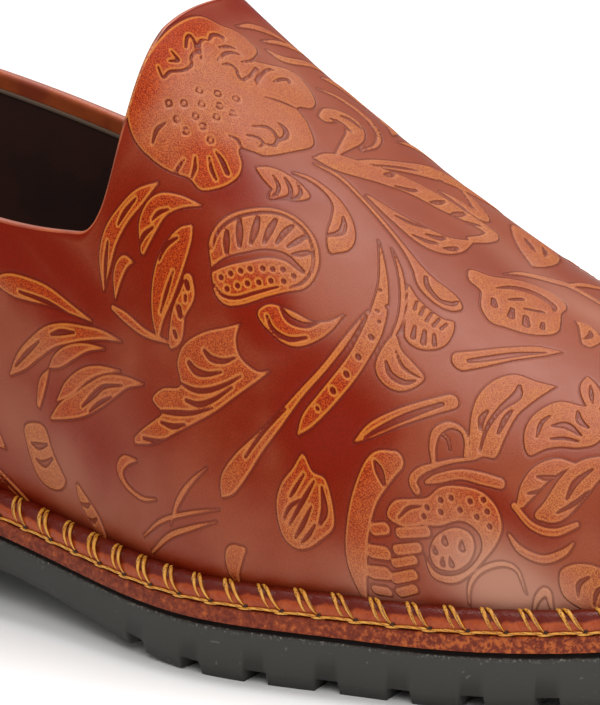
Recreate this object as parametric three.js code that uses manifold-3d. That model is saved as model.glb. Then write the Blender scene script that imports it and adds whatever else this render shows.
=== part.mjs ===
// Slip-on loafer for the right foot: a whole-cut leather upper, a rolled welt bead, a leather
// midsole and a lugged rubber sole with a separate heel.
// Millimetres, +X to the toe, +Y to the inner side, +Z up, floor at zero.
import * as THREE from 'three';
import { mergeVertices } from 'three/addons/utils/BufferGeometryUtils.js';
import Module from 'manifold-3d';

const wasm = await Module();
wasm.setup();

// Last
const LAST_LENGTH = 288;
const BALL_WIDTH = 92;
const HEEL_RADIUS = 32;
const TOE_RADIUS = 27;
const INSTEP_HEIGHT = 92;
const SWELL = 4;
const TOE_SPRING = 11;

// Upper
const WALL = 2.2;
const COLLAR_HEIGHT = 55;
const THROAT_RADIUS = 5;
const TONGUE_LEAN = 2.5;

// Sole, from the inside out
const INSOLE = 3;
const MIDSOLE = 3;
const FORE_SOLE = 10.6;
const WAIST_SOLE = 7.4;
const HEEL_STACK = 24.3;
const WELT_REACH = 7;
const WELT_HEIGHT = 4;
const SOLE_INSET = 0.8;
const HEEL_TAPER = 1.5;

// Tread
const LUG_DEPTH = 2.6;
const LUG_BEVEL = 1.2;
const LUG_PITCH = 13.6;
const GROOVE_WIDTH = 4.8;
const CLEAT_LENGTH = 16;

// Clearance between pieces that touch
const GAP = 0.3;
const BEAD_CLEARANCE = 0.5;

// Places along the last, as shares of LAST_LENGTH from the heel
const WAIST_FROM = 0.12;
const WAIST_TO = 0.60;
const SPRING_FROM = 0.70;
const SOLE_THINS_AT = 0.42;
const HEEL_BREAST_AT = 0.27;
const LUGS_FROM = 0.52;
const BEHIND_HEEL = -0.1;
const PAST_TOE = 1.1;
const THROAT_AT = 0.474;
const RIDGE_REAR_AT = 0.12;
const RIDGE_FRONT_AT = 0.90;

// Facets
const STATIONS = 42;
const ROWS = 13;
const ROW_CROWDING = 1.7;

// Feather line: outer and inner half widths are shares of BALL_WIDTH
const OUTLINE = [
  { at: 0.06, outer: 0.275, inner: 0.275 },
  { at: 0.12, outer: 0.350, inner: 0.345 },
  { at: 0.20, outer: 0.380, inner: 0.358 },
  { at: 0.30, outer: 0.390, inner: 0.335 },
  { at: 0.40, outer: 0.405, inner: 0.310 },
  { at: 0.50, outer: 0.480, inner: 0.330 },
  { at: 0.60, outer: 0.550, inner: 0.395 },
  { at: 0.68, outer: 0.520, inner: 0.462 },
  { at: 0.76, outer: 0.485, inner: 0.485 },
  { at: 0.84, outer: 0.422, inner: 0.440 },
  { at: 0.91, outer: 0.328, inner: 0.365 },
  { at: 0.96, outer: 0.228, inner: 0.262 },
];

// Sections: crest is a share of INSTEP_HEIGHT, ridge a share of BALL_WIDTH toward the inner side,
// swell a share of SWELL; lean and rise are the powers that shape the flank
const SECTIONS = [
  { at: 0.00, crest: 1.500, ridge: 0.00, lean: 0.50, rise: 0.80, swell: 1.25 },
  { at: 0.15, crest: 1.440, ridge: 0.01, lean: 0.50, rise: 0.80, swell: 1.00 },
  { at: 0.30, crest: 1.280, ridge: 0.04, lean: 0.55, rise: 0.82, swell: 0.75 },
  { at: 0.40, crest: 1.120, ridge: 0.07, lean: 0.62, rise: 0.85, swell: 0.75 },
  { at: 0.50, crest: 0.925, ridge: 0.09, lean: 0.70, rise: 0.88, swell: 0.88 },
  { at: 0.60, crest: 0.730, ridge: 0.10, lean: 0.74, rise: 0.90, swell: 1.00 },
  { at: 0.70, crest: 0.540, ridge: 0.10, lean: 0.74, rise: 0.90, swell: 1.00 },
  { at: 0.80, crest: 0.415, ridge: 0.08, lean: 0.70, rise: 0.88, swell: 0.88 },
  { at: 0.90, crest: 0.350, ridge: 0.05, lean: 0.62, rise: 0.84, swell: 0.75 },
  { at: 1.00, crest: 0.310, ridge: 0.00, lean: 0.58, rise: 0.80, swell: 0.63 },
];

// Topline over the feather line, as shares of COLLAR_HEIGHT, lower under the outer ankle
const TOPLINE = [
  { at: 0.00, outer: 1.090, inner: 1.090 },
  { at: 0.12, outer: 1.050, inner: 1.070 },
  { at: 0.24, outer: 0.985, inner: 1.045 },
  { at: 0.34, outer: 0.955, inner: 1.020 },
  { at: 0.42, outer: 0.965, inner: 1.000 },
  { at: 0.46, outer: 1.000, inner: 1.000 },
];

// Section of the welt bead: out is the way from the upper's flank to the midsole's edge,
// height a share of WELT_HEIGHT
const BEAD = [
  { out: 0.00, height: 0.00 },
  { out: 0.96, height: 0.00 },
  { out: 1.00, height: 0.35 },
  { out: 0.90, height: 0.70 },
  { out: 0.66, height: 0.94 },
  { out: 0.34, height: 1.00 },
  { out: 0.00, height: 0.82 },
  { out: 0.00, height: 0.40 },
];

// The bead's back stands upright up to this share of its height
const BEAD_FOOT = 0.4;

const SWELL_POWER = 0.48;
const OUTER = { key: 'outer', sign: -1 };
const INNER = { key: 'inner', sign: 1 };

const clamp = THREE.MathUtils.clamp;
const smooth = (at, from, to) => THREE.MathUtils.smoothstep(at, from, to);

// Natural cubic spline through one column of a table
function spline(places, values) {
  const last = places.length - 1;
  const bend = new Array(last + 1).fill(0);
  const carry = new Array(last + 1).fill(0);
  for (let i = 1; i < last; i += 1) {
    const before = places[i] - places[i - 1];
    const after = places[i + 1] - places[i];
    const jump = (values[i + 1] - values[i]) / after - (values[i] - values[i - 1]) / before;
    const pivot = 2 * (before + after) - before * carry[i - 1];
    carry[i] = after / pivot;
    bend[i] = (6 * jump - before * bend[i - 1]) / pivot;
  }
  for (let i = last - 1; i > 0; i -= 1) bend[i] -= carry[i] * bend[i + 1];
  return (at) => {
    let i = 0;
    while (i < last - 1 && at > places[i + 1]) i += 1;
    const span = places[i + 1] - places[i];
    const right = (at - places[i]) / span;
    const left = 1 - right;
    const cubic = (left ** 3 - left) * bend[i] + (right ** 3 - right) * bend[i + 1];
    return left * values[i] + right * values[i + 1] + (cubic * span * span) / 6;
  };
}

const column = (table, key) => spline(table.map((row) => row.at), table.map((row) => row[key]));

const crest = column(SECTIONS, 'crest');
const ridge = column(SECTIONS, 'ridge');
const lean = column(SECTIONS, 'lean');
const rise = column(SECTIONS, 'rise');
const swell = column(SECTIONS, 'swell');
const topline = { outer: column(TOPLINE, 'outer'), inner: column(TOPLINE, 'inner') };

// The outline is an ellipse's chord times a fullness, so heel and toe come out round
const chord = (at) => 2 * Math.sqrt(Math.max(at * (1 - at), 0));

function fullness(side) {
  const places = OUTLINE.map((row) => row.at);
  const values = OUTLINE.map((row) => (row[side.key] * BALL_WIDTH) / chord(row.at));
  const end = (radius) => Math.sqrt((radius * LAST_LENGTH) / 2);
  return spline([0, ...places, 1], [end(HEEL_RADIUS), ...values, end(TOE_RADIUS)]);
}

const full = { outer: fullness(OUTER), inner: fullness(INNER) };

// Heights over the floor, by place along the last
function board(at) {
  const fore = FORE_SOLE + MIDSOLE;
  const heel = HEEL_STACK + MIDSOLE;
  const spring = Math.max(at - SPRING_FROM, 0) / (1 - SPRING_FROM);
  return heel + (fore - heel) * smooth(at, WAIST_FROM, WAIST_TO) + TOE_SPRING * spring ** 2;
}

// The height at which upper, bead and insole sit on the midsole, by a distance along the last
const seat = (x) => board(x / LAST_LENGTH) + GAP;

const soleTop = (at) => board(at) - MIDSOLE;
const soleDepth = (at) => WAIST_SOLE + (FORE_SOLE - WAIST_SOLE) * smooth(at, SOLE_THINS_AT, WAIST_TO);
const tread = (at) => soleTop(at) - soleDepth(at);

// Places along the last run as the cosine of an angle, from heel (0) to toe (pi)
const placeOf = (angle) => (1 - Math.cos(angle)) / 2;
const angleOf = (at) => Math.acos(1 - 2 * clamp(at, 0, 1));

// A point of the outline pushed outward by a reach
function edgePoint(angle, side, reach) {
  const at = placeOf(angle);
  const x = at * LAST_LENGTH;
  const y = side.sign * full[side.key](at) * chord(at);
  const nudge = 0.001;
  const ahead = placeOf(Math.min(angle + nudge, Math.PI));
  const behind = placeOf(Math.max(angle - nudge, 0));
  const dx = (ahead - behind) * LAST_LENGTH;
  const dy = side.sign * (full[side.key](ahead) * chord(ahead) - full[side.key](behind) * chord(behind));
  const length = Math.hypot(dx, dy);
  let normal = new THREE.Vector2((-side.sign * dy) / length, (side.sign * dx) / length);
  if (angle === 0) normal = new THREE.Vector2(-1, 0);
  if (angle === Math.PI) normal = new THREE.Vector2(1, 0);
  return { x: x + normal.x * reach, y: y + normal.y * reach, normal, at };
}

// Stations around the shoe: heel to toe on the outer side, then back on the inner side
function around(end = Math.PI) {
  const steps = Math.max(4, Math.round((STATIONS * end) / Math.PI));
  const closed = end >= Math.PI;
  const stations = [];
  for (let i = 0; i <= steps; i += 1) stations.push({ angle: (end * i) / steps, side: OUTER });
  for (let i = closed ? steps - 1 : steps; i > 0; i -= 1) {
    stations.push({ angle: (end * i) / steps, side: INNER });
  }
  return stations;
}

// Where on the ridge a rib ends that starts at a share of the feather line
function ridgeShare(at) {
  const rear = 2 * RIDGE_REAR_AT;
  if (at < rear) return RIDGE_REAR_AT + (at * at) / (2 * rear);
  const front = 2 * RIDGE_FRONT_AT - 1;
  if (at <= front) return at;
  const past = at - front;
  return front + past - (past * past) / (2 * (1 - front));
}

const climbOf = (row) => (row / ROWS) ** ROW_CROWDING;

// A point of the upper's surface, by its climb from the feather line (0) to the ridge (1)
function upperPoint(station, climb, offset) {
  const foot = edgePoint(station.angle, station.side, offset);
  const top = ridgeShare(foot.at);
  const turn = (climb * Math.PI) / 2;
  const inward = 1 - Math.max(Math.cos(turn), 0) ** lean(foot.at);
  const height = Math.sin(turn) ** rise(foot.at);
  const out = SWELL * swell(foot.at) * Math.sin(Math.PI * height ** SWELL_POWER);
  const x = foot.x + (top * LAST_LENGTH - foot.x) * inward + foot.normal.x * out;
  const y = foot.y + (ridge(top) * BALL_WIDTH - foot.y) * inward + foot.normal.y * out;
  const over = crest(clamp(x / LAST_LENGTH, 0, 1)) * INSTEP_HEIGHT + offset;
  return [x, y, seat(x) + over * height];
}

// A closed geometry from loops of points, bottom to top, with caps across the outer and inner sides
function stackLoops(loops) {
  const count = loops[0].length;
  const index = [];
  const quad = (a, b, c, d) => index.push(a, b, c, a, c, d);
  for (let level = 0; level + 1 < loops.length; level += 1) {
    const low = level * count;
    for (let i = 0; i < count; i += 1) {
      const next = (i + 1) % count;
      quad(low + i, low + next, low + count + next, low + count + i);
    }
  }
  const top = (loops.length - 1) * count;
  for (let i = 0; 2 * i + 1 < count; i += 1) {
    const across = (count - i) % count;
    const following = count - i - 1;
    quad(top + i, top + i + 1, top + following, top + across);
    quad(across, following, i + 1, i);
  }
  return geometryOf(loops.flat(2), index);
}

function geometryOf(positions, index) {
  const geometry = new THREE.BufferGeometry();
  geometry.setAttribute('position', new THREE.Float32BufferAttribute(positions, 3));
  geometry.setIndex(index);
  return geometry;
}

// Solids for cutting and joining
function solid(geometry) {
  const bare = geometry.clone();
  bare.deleteAttribute('normal');
  bare.deleteAttribute('uv');
  const merged = mergeVertices(bare, 1e-4);
  const corners = merged.index.array;
  const kept = [];
  for (let i = 0; i < corners.length; i += 3) {
    const [a, b, c] = [corners[i], corners[i + 1], corners[i + 2]];
    if (a !== b && b !== c && c !== a) kept.push(a, b, c);
  }
  const mesh = new wasm.Mesh({
    numProp: 3,
    vertProperties: new Float32Array(merged.attributes.position.array),
    triVerts: new Uint32Array(kept),
  });
  return new wasm.Manifold(mesh);
}

function geometryFrom(manifold) {
  const mesh = manifold.getMesh();
  return geometryOf(mesh.vertProperties, [...mesh.triVerts]);
}

const join = (solids) => solids.reduce((whole, next) => whole.add(next));

// A slab between two heights over the outline, with a reach of its own at each level
function slab(levels, end) {
  const stations = around(end);
  return solid(stackLoops(levels.map(({ reach, height }) => stations.map((station) => {
    const point = edgePoint(station.angle, station.side, reach);
    return [point.x, point.y, height(point.x / LAST_LENGTH)];
  }))));
}

// The filled form of the last, larger or smaller by an offset and lowered at its foot by a drop
function lastForm(offset, drop = 0) {
  const stations = around();
  const loops = [];
  if (drop > 0) loops.push(stations.map((station) => {
    const [x, y, z] = upperPoint(station, 0, offset);
    return [x, y, z - drop];
  }));
  for (let row = 0; row <= ROWS; row += 1) {
    loops.push(stations.map((station) => upperPoint(station, climbOf(row), offset)));
  }
  return solid(stackLoops(loops));
}

// What the collar and throat take out of the upper, on one side of the middle
function collarCut(side) {
  const behind = -2 * WELT_REACH;
  const above = 2 * INSTEP_HEIGHT;
  const throat = THROAT_AT * LAST_LENGTH;
  const height = (at) => board(at) + topline[side.key](at) * COLLAR_HEIGHT;
  const shape = new THREE.Shape();
  shape.moveTo(behind, height(0));
  const lastPlace = (throat - THROAT_RADIUS) / LAST_LENGTH;
  const steps = 12;
  for (let i = 0; i <= steps; i += 1) {
    const at = (lastPlace * i) / steps;
    shape.lineTo(at * LAST_LENGTH, height(at));
  }
  const low = height(lastPlace);
  shape.quadraticCurveTo(throat, low, throat, low + 2 * THROAT_RADIUS);
  shape.quadraticCurveTo(throat, INSTEP_HEIGHT, throat - TONGUE_LEAN, crest(THROAT_AT) * INSTEP_HEIGHT
    + board(THROAT_AT));
  shape.lineTo(throat - 2 * TONGUE_LEAN, above);
  shape.lineTo(behind, above);
  const prism = new THREE.ExtrudeGeometry(shape, { depth: BALL_WIDTH, bevelEnabled: false, curveSegments: 5 });
  prism.rotateX(Math.PI / 2);
  if (side.sign > 0) prism.translate(0, BALL_WIDTH, 0);
  return solid(prism);
}

function upper() {
  const shell = lastForm(0).subtract(lastForm(-WALL, WALL));
  return shell.subtract(join([collarCut(OUTER), collarCut(INNER)]));
}

// The plan position of the upper's flank at a height over the feather line
function flankPoint(station, height, offset) {
  let low = { x: 0, y: 0, over: -1 };
  for (let row = 0; row <= ROWS; row += 1) {
    const [x, y, z] = upperPoint(station, climbOf(row), offset);
    const high = { x, y, over: z - seat(x) };
    if (high.over >= height) {
      const share = row === 0 ? 1 : (height - low.over) / (high.over - low.over);
      return {
        x: THREE.MathUtils.lerp(low.x, high.x, share),
        y: THREE.MathUtils.lerp(low.y, high.y, share),
      };
    }
    low = high;
  }
  return low;
}

// The rolled strip that lies on the midsole against the upper's foot
function weltBead() {
  const stations = around();
  const positions = [];
  const index = [];
  const turns = BEAD.length;
  stations.forEach((station, k) => {
    const next = (k + 1) % stations.length;
    const edge = edgePoint(station.angle, station.side, WELT_REACH - GAP);
    BEAD.forEach((corner, j) => {
      const height = corner.height * WELT_HEIGHT;
      const flank = flankPoint(station, Math.max(height, BEAD_FOOT * WELT_HEIGHT), BEAD_CLEARANCE);
      const width = (edge.x - flank.x) * edge.normal.x + (edge.y - flank.y) * edge.normal.y;
      const x = flank.x + edge.normal.x * corner.out * width;
      const y = flank.y + edge.normal.y * corner.out * width;
      positions.push(x, y, seat(x) + height);
      const after = (j + 1) % turns;
      const [a, b, c, d] = [k * turns + j, next * turns + j, next * turns + after, k * turns + after];
      index.push(a, b, c, a, c, d);
    });
  });
  return solid(geometryOf(positions, index));
}

function insole() {
  const reach = -WALL - GAP;
  return slab([
    { reach, height: (at) => board(at) + GAP },
    { reach, height: (at) => board(at) + GAP + INSOLE },
  ]);
}

function midsole() {
  return slab([
    { reach: WELT_REACH, height: (at) => board(at) - MIDSOLE },
    { reach: WELT_REACH, height: board },
  ]);
}

// A block that stands across the outline, to cut one groove
function grooveBlock(x, y, heading, length) {
  const tall = 2 * HEEL_STACK;
  const block = new THREE.BoxGeometry(length, GROOVE_WIDTH, tall);
  block.rotateZ(heading);
  block.translate(x, y, 0);
  return solid(block);
}

// Grooves from the edge inward, a channel behind them and grooves across the middle
function treadPattern(from, to) {
  const reach = WELT_REACH - SOLE_INSET;
  const blocks = [];
  for (const side of [OUTER, INNER]) {
    let walked = LUG_PITCH / 2;
    const start = angleOf(from);
    const stop = angleOf(to);
    let before = edgePoint(start, side, reach);
    const steps = 400;
    for (let i = 1; i <= steps; i += 1) {
      const point = edgePoint(start + ((stop - start) * i) / steps, side, reach);
      walked += Math.hypot(point.x - before.x, point.y - before.y);
      before = point;
      if (walked < LUG_PITCH) continue;
      walked -= LUG_PITCH;
      const heading = Math.atan2(point.normal.y, point.normal.x);
      blocks.push(grooveBlock(point.x, point.y, heading, 2 * CLEAT_LENGTH));
    }
  }
  const tall = [-HEEL_STACK, HEEL_STACK];
  const prism = (inset) => slab(tall.map((z) => ({ reach: reach - inset, height: () => z })));
  const field = prism(CLEAT_LENGTH + GROOVE_WIDTH);
  const channel = prism(CLEAT_LENGTH).subtract(field);
  const middle = [];
  const first = from * LAST_LENGTH + LUG_PITCH;
  for (let x = first; x < to * LAST_LENGTH; x += LUG_PITCH) {
    middle.push(grooveBlock(x, 0, Math.PI / 2, 2 * BALL_WIDTH));
  }
  return join([...blocks, channel, join(middle).intersect(field)]);
}

// The part of a tread pattern that is cut: the lowest LUG_DEPTH between two places
function treadCut(bottom, from, to) {
  const wide = 2 * WELT_REACH;
  const band = slab([
    { reach: wide, height: (at) => bottom(at) - LUG_DEPTH },
    { reach: wide, height: (at) => bottom(at) + LUG_DEPTH },
  ]);
  const window = new THREE.BoxGeometry((to - from) * LAST_LENGTH, 2 * BALL_WIDTH, 4 * HEEL_STACK);
  window.translate(((from + to) / 2) * LAST_LENGTH, 0, 0);
  return treadPattern(from, to).intersect(band).intersect(solid(window));
}

function outsole() {
  const reach = WELT_REACH - SOLE_INSET;
  const body = slab([
    { reach: reach - LUG_BEVEL, height: tread },
    { reach, height: (at) => tread(at) + LUG_DEPTH },
    { reach, height: (at) => soleTop(at) - GAP },
  ]);
  return body.subtract(treadCut(tread, LUGS_FROM, PAST_TOE));
}

function heel() {
  const reach = WELT_REACH - SOLE_INSET;
  const body = slab([
    { reach: reach - HEEL_TAPER - LUG_BEVEL, height: () => 0 },
    { reach: reach - HEEL_TAPER, height: () => LUG_DEPTH },
    { reach: reach - LUG_BEVEL, height: (at) => tread(at) - GAP },
  ], angleOf(HEEL_BREAST_AT));
  return body.subtract(treadCut(() => 0, BEHIND_HEEL, HEEL_BREAST_AT));
}

// Materials
const finish = (color, roughness) => new THREE.MeshStandardMaterial({ color, roughness, metalness: 0 });
const pieces = [
  { name: 'upper', shape: upper(), material: finish('#9c4a30', 0.5) },
  { name: 'welt_bead', shape: weltBead(), material: finish('#8f3d26', 0.5) },
  { name: 'insole', shape: insole(), material: finish('#2a130b', 0.8) },
  { name: 'midsole', shape: midsole(), material: finish('#a8512f', 0.6) },
  { name: 'outsole', shape: outsole(), material: finish('#403d38', 0.75) },
  { name: 'heel', shape: heel(), material: finish('#403d38', 0.75) },
];

// The middle of the sole's outline is the origin
const outline = around().map((station) => edgePoint(station.angle, station.side, WELT_REACH).y);
const middleY = (Math.min(...outline) + Math.max(...outline)) / 2;

const loafer = new THREE.Group();
loafer.position.set(-LAST_LENGTH / 2, -middleY, 0);
for (const { name, shape, material } of pieces) {
  const mesh = new THREE.Mesh(geometryFrom(shape), material);
  mesh.name = name;
  loafer.add(mesh);
}

export default loafer;
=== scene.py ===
"""Looks of a right slip-on loafer in tooled leather on a stitched welt bead and a rubber sole.

Lengths are millimetres from the back of the last until a mesh is placed; the frame is in metres.
"""
import math

import bmesh
import bpy
import numpy as np
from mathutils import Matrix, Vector


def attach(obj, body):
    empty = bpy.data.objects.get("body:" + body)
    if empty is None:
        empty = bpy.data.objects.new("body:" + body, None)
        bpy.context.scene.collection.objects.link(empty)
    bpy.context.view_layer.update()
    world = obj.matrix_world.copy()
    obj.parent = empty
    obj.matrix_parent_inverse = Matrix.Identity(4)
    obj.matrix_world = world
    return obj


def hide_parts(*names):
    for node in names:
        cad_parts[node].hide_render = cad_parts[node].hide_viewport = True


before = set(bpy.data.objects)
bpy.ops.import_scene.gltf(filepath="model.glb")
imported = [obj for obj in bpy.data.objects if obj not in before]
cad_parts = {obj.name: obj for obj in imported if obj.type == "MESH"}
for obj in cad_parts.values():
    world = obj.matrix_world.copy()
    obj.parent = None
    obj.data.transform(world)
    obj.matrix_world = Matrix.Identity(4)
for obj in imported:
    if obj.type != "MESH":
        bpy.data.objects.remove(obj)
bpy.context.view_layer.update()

MM = 0.001

# Last
LAST_LENGTH = 288.0
BALL_WIDTH = 92.0
HEEL_RADIUS = 32.0
TOE_RADIUS = 27.0
INSTEP_HEIGHT = 92.0
SWELL = 4.0
SWELL_POWER = 0.48
TOE_SPRING = 11.0

# Upper
WALL = 2.2
COLLAR_HEIGHT = 55.0
THROAT_RADIUS = 5.0
TONGUE_LEAN = 2.5

# Sole
MIDSOLE = 3.0
FORE_SOLE = 10.6
WAIST_SOLE = 7.4
HEEL_STACK = 24.3
WELT_REACH = 7.0
WELT_HEIGHT = 4.0
SOLE_INSET = 0.8
HEEL_TAPER = 1.5
LUG_DEPTH = 2.6
LUG_BEVEL = 1.2
LUG_PITCH = 13.6
GROOVE_WIDTH = 4.8
GROOVE_SPLAY = 0.9
CLEAT_LENGTH = 16.0
SEAM_DEPTH = 0.8
SEAM_REACH = 0.75
TRIM = 0.15
GAP = 0.3

# The frame's origin lies here across the last, under the middle of its length
MIDDLE_Y = -2.949

# Places along the last, as shares of its length
WAIST_FROM, WAIST_TO = 0.12, 0.60
SPRING_FROM = 0.70
SOLE_THINS_AT = 0.42
HEEL_BREAST_AT = 0.27
LUGS_FROM = 0.52
BEHIND_HEEL = -0.05
THROAT_AT = 0.474
RIDGE_REAR_AT, RIDGE_FRONT_AT = 0.12, 0.90

# Places along the last, in millimetres: the fan of ribs round the throat, and where the toe begins
FAN_FROM, FAN_TO = 118.0, 168.0
TOE_FROM = 240.0

# Feather line: place, outer and inner half width as shares of BALL_WIDTH
OUTLINE = np.array([
    (0.06, 0.275, 0.275), (0.12, 0.350, 0.345), (0.20, 0.380, 0.358), (0.30, 0.390, 0.335),
    (0.40, 0.405, 0.310), (0.50, 0.480, 0.330), (0.60, 0.550, 0.395), (0.68, 0.520, 0.462),
    (0.76, 0.485, 0.485), (0.84, 0.422, 0.440), (0.91, 0.328, 0.365), (0.96, 0.228, 0.262),
])
# Sections: place, crest (of INSTEP_HEIGHT), ridge (of BALL_WIDTH), lean, rise, swell (of SWELL)
SECTIONS = np.array([
    (0.00, 1.500, 0.00, 0.50, 0.80, 1.25), (0.15, 1.440, 0.01, 0.50, 0.80, 1.00),
    (0.30, 1.280, 0.04, 0.55, 0.82, 0.75), (0.40, 1.120, 0.07, 0.62, 0.85, 0.75),
    (0.50, 0.925, 0.09, 0.70, 0.88, 0.88), (0.60, 0.730, 0.10, 0.74, 0.90, 1.00),
    (0.70, 0.540, 0.10, 0.74, 0.90, 1.00), (0.80, 0.415, 0.08, 0.70, 0.88, 0.88),
    (0.90, 0.350, 0.05, 0.62, 0.84, 0.75), (1.00, 0.310, 0.00, 0.58, 0.80, 0.63),
])
# Topline: place, outer and inner height as shares of COLLAR_HEIGHT
TOPLINE = np.array([
    (0.00, 1.090, 1.090), (0.12, 1.050, 1.070), (0.24, 0.985, 1.045),
    (0.34, 0.955, 1.020), (0.42, 0.965, 1.000), (0.46, 1.000, 1.000),
])
OUTER, INNER = -1, 1


# Form of the last
def spline(places, values):
    """Natural cubic spline through given values."""
    places = np.asarray(places, float)
    values = np.asarray(values, float)
    step = np.diff(places)
    count = len(places)
    system = np.eye(count)
    right = np.zeros(count)
    for i in range(1, count - 1):
        system[i, i - 1:i + 2] = step[i - 1], 2 * (step[i - 1] + step[i]), step[i]
        slopes = (values[i + 1] - values[i]) / step[i], (values[i] - values[i - 1]) / step[i - 1]
        right[i] = 6 * (slopes[0] - slopes[1])
    bend = np.linalg.solve(system, right)

    def at(x):
        x = np.asarray(x, float)
        i = np.clip(np.searchsorted(places, x) - 1, 0, count - 2)
        span = step[i]
        b = (x - places[i]) / span
        a = 1 - b
        cubic = (a ** 3 - a) * bend[i] + (b ** 3 - b) * bend[i + 1]
        return a * values[i] + b * values[i + 1] + cubic * span ** 2 / 6
    return at


crest, ridge, lean, rise, swell = (spline(SECTIONS[:, 0], SECTIONS[:, k]) for k in range(1, 6))
topline = {OUTER: spline(TOPLINE[:, 0], TOPLINE[:, 1]), INNER: spline(TOPLINE[:, 0], TOPLINE[:, 2])}


def chord(at):
    return 2 * np.sqrt(np.maximum(at * (1 - at), 0))


def fullness(column):
    places = OUTLINE[:, 0]
    values = OUTLINE[:, column] * BALL_WIDTH / chord(places)
    heel, toe = (math.sqrt(radius * LAST_LENGTH / 2) for radius in (HEEL_RADIUS, TOE_RADIUS))
    return spline(np.r_[0, places, 1], np.r_[heel, values, toe])


full = {OUTER: fullness(1), INNER: fullness(2)}


def smooth(x, low, high):
    t = np.clip((x - low) / (high - low), 0, 1)
    return t * t * (3 - 2 * t)


def board(at):
    """Height of the feather line over the floor."""
    fore, heel = FORE_SOLE + MIDSOLE, HEEL_STACK + MIDSOLE
    spring = np.maximum(at - SPRING_FROM, 0) / (1 - SPRING_FROM)
    return heel + (fore - heel) * smooth(at, WAIST_FROM, WAIST_TO) + TOE_SPRING * spring ** 2


def tread(at):
    depth = WAIST_SOLE + (FORE_SOLE - WAIST_SOLE) * smooth(at, SOLE_THINS_AT, WAIST_TO)
    return board(at) - MIDSOLE - depth


def place_of(angle):
    return (1 - np.cos(angle)) / 2


def angle_of(at):
    return np.arccos(1 - 2 * np.clip(at, 0, 1))


def edge_point(angle, side, reach=0.0):
    """Point of the feather line pushed outward; the angle runs from heel (0) to toe (pi)."""
    angle = np.asarray(angle, float)
    side = np.broadcast_to(side, angle.shape)

    def half(turn):
        at = place_of(turn)
        return np.where(side < 0, full[OUTER](at), full[INNER](at)) * chord(at)

    nudge = 0.001
    ahead, behind = np.minimum(angle + nudge, math.pi), np.maximum(angle - nudge, 0)
    dx = (place_of(ahead) - place_of(behind)) * LAST_LENGTH
    dy = side * (half(ahead) - half(behind))
    length = np.hypot(dx, dy)
    ends = (angle < 1e-6) | (angle > math.pi - 1e-6)
    nx = np.where(ends, np.where(angle < 1, -1, 1), -side * dy / length)
    ny = np.where(ends, 0, side * dx / length)
    return place_of(angle) * LAST_LENGTH + nx * reach, side * half(angle) + ny * reach, nx, ny


def ridge_share(at):
    rear, front = 2 * RIDGE_REAR_AT, 2 * RIDGE_FRONT_AT - 1
    past = at - front
    high = front + past - past ** 2 / (2 * (1 - front))
    low = RIDGE_REAR_AT + at ** 2 / (2 * rear)
    return np.where(at < rear, low, np.where(at > front, high, at))


def upper_point(angle, climb, side, offset=0.0):
    """Point of the upper: climb runs from the feather line (0) to the ridge (1)."""
    at = place_of(angle)
    fx, fy, nx, ny = edge_point(angle, side, offset)
    top = ridge_share(at)
    turn = climb * math.pi / 2
    inward = 1 - np.maximum(np.cos(turn), 0) ** lean(at)
    height = np.sin(turn) ** rise(at)
    out = SWELL * swell(at) * np.sin(math.pi * height ** SWELL_POWER)
    x = fx + (top * LAST_LENGTH - fx) * inward + nx * out
    y = fy + (ridge(top) * BALL_WIDTH - fy) * inward + ny * out
    over = crest(np.clip(x / LAST_LENGTH, 0, 1)) * INSTEP_HEIGHT + offset
    return np.stack([x, y, board(x / LAST_LENGTH) + GAP + over * height], -1)


# Girth: each rib is walked by its own length, from the feather line (0) to the ridge (1)
RIBS, RIB_STEPS = 500, 500
rib_angles = np.linspace(0, math.pi, RIBS)
rib_length = {}
rib_climb = {}
for side in (OUTER, INNER):
    climbs = (np.linspace(0, 1, 1200) ** 1.7)[None, :]
    points = upper_point(rib_angles[:, None] + 0 * climbs, climbs + 0 * rib_angles[:, None], side)
    arcs = np.linalg.norm(np.diff(points, axis=1), axis=-1)
    arcs = np.concatenate([np.zeros((RIBS, 1)), np.cumsum(arcs, 1)], 1)
    rib_length[side] = arcs[:, -1]
    shares = np.linspace(0, 1, RIB_STEPS)
    rib_climb[side] = np.stack([np.interp(shares * arc[-1], arc, climbs[0]) for arc in arcs])


def sample(grid, i, j):
    """Bilinear reading of a grid at fractional places."""
    i = np.clip(i, 0, grid.shape[0] - 1.001)
    j = np.clip(j, 0, grid.shape[1] - 1.001)
    i0, j0 = i.astype(int), j.astype(int)
    a, b = i - i0, j - j0
    low = grid[i0, j0] * (1 - b) + grid[i0, j0 + 1] * b
    high = grid[i0 + 1, j0] * (1 - b) + grid[i0 + 1, j0 + 1] * b
    return low * (1 - a) + high * a


def by_side(side, read):
    return np.where(side < 0, read(OUTER), read(INNER))


def climb_at(angle, share, side):
    row, column = angle / math.pi * (RIBS - 1), share * (RIB_STEPS - 1)
    return by_side(side, lambda s: sample(rib_climb[s], row, column))


def girth_at(angle, share, side):
    """Distance from the ridge along the rib: positive on the outer side."""
    total = by_side(side, lambda s: np.interp(angle, rib_angles, rib_length[s]))
    return -side * (1 - share) * total


# Tooling pattern, flat: x along the last and way down the skin from the ridge (outer side positive),
# in millimetres. Each stroke is a run of (x, way, half width), or an outline of (x, way).
RAISE, CUT = 1, -1


def raised(*points):
    return RAISE, points


def cut(*points):
    return CUT, points


def dots(radius, *places):
    return [cut((x, g, radius), (x + 0.05, g + 0.05, radius)) for x, g in places]


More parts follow.
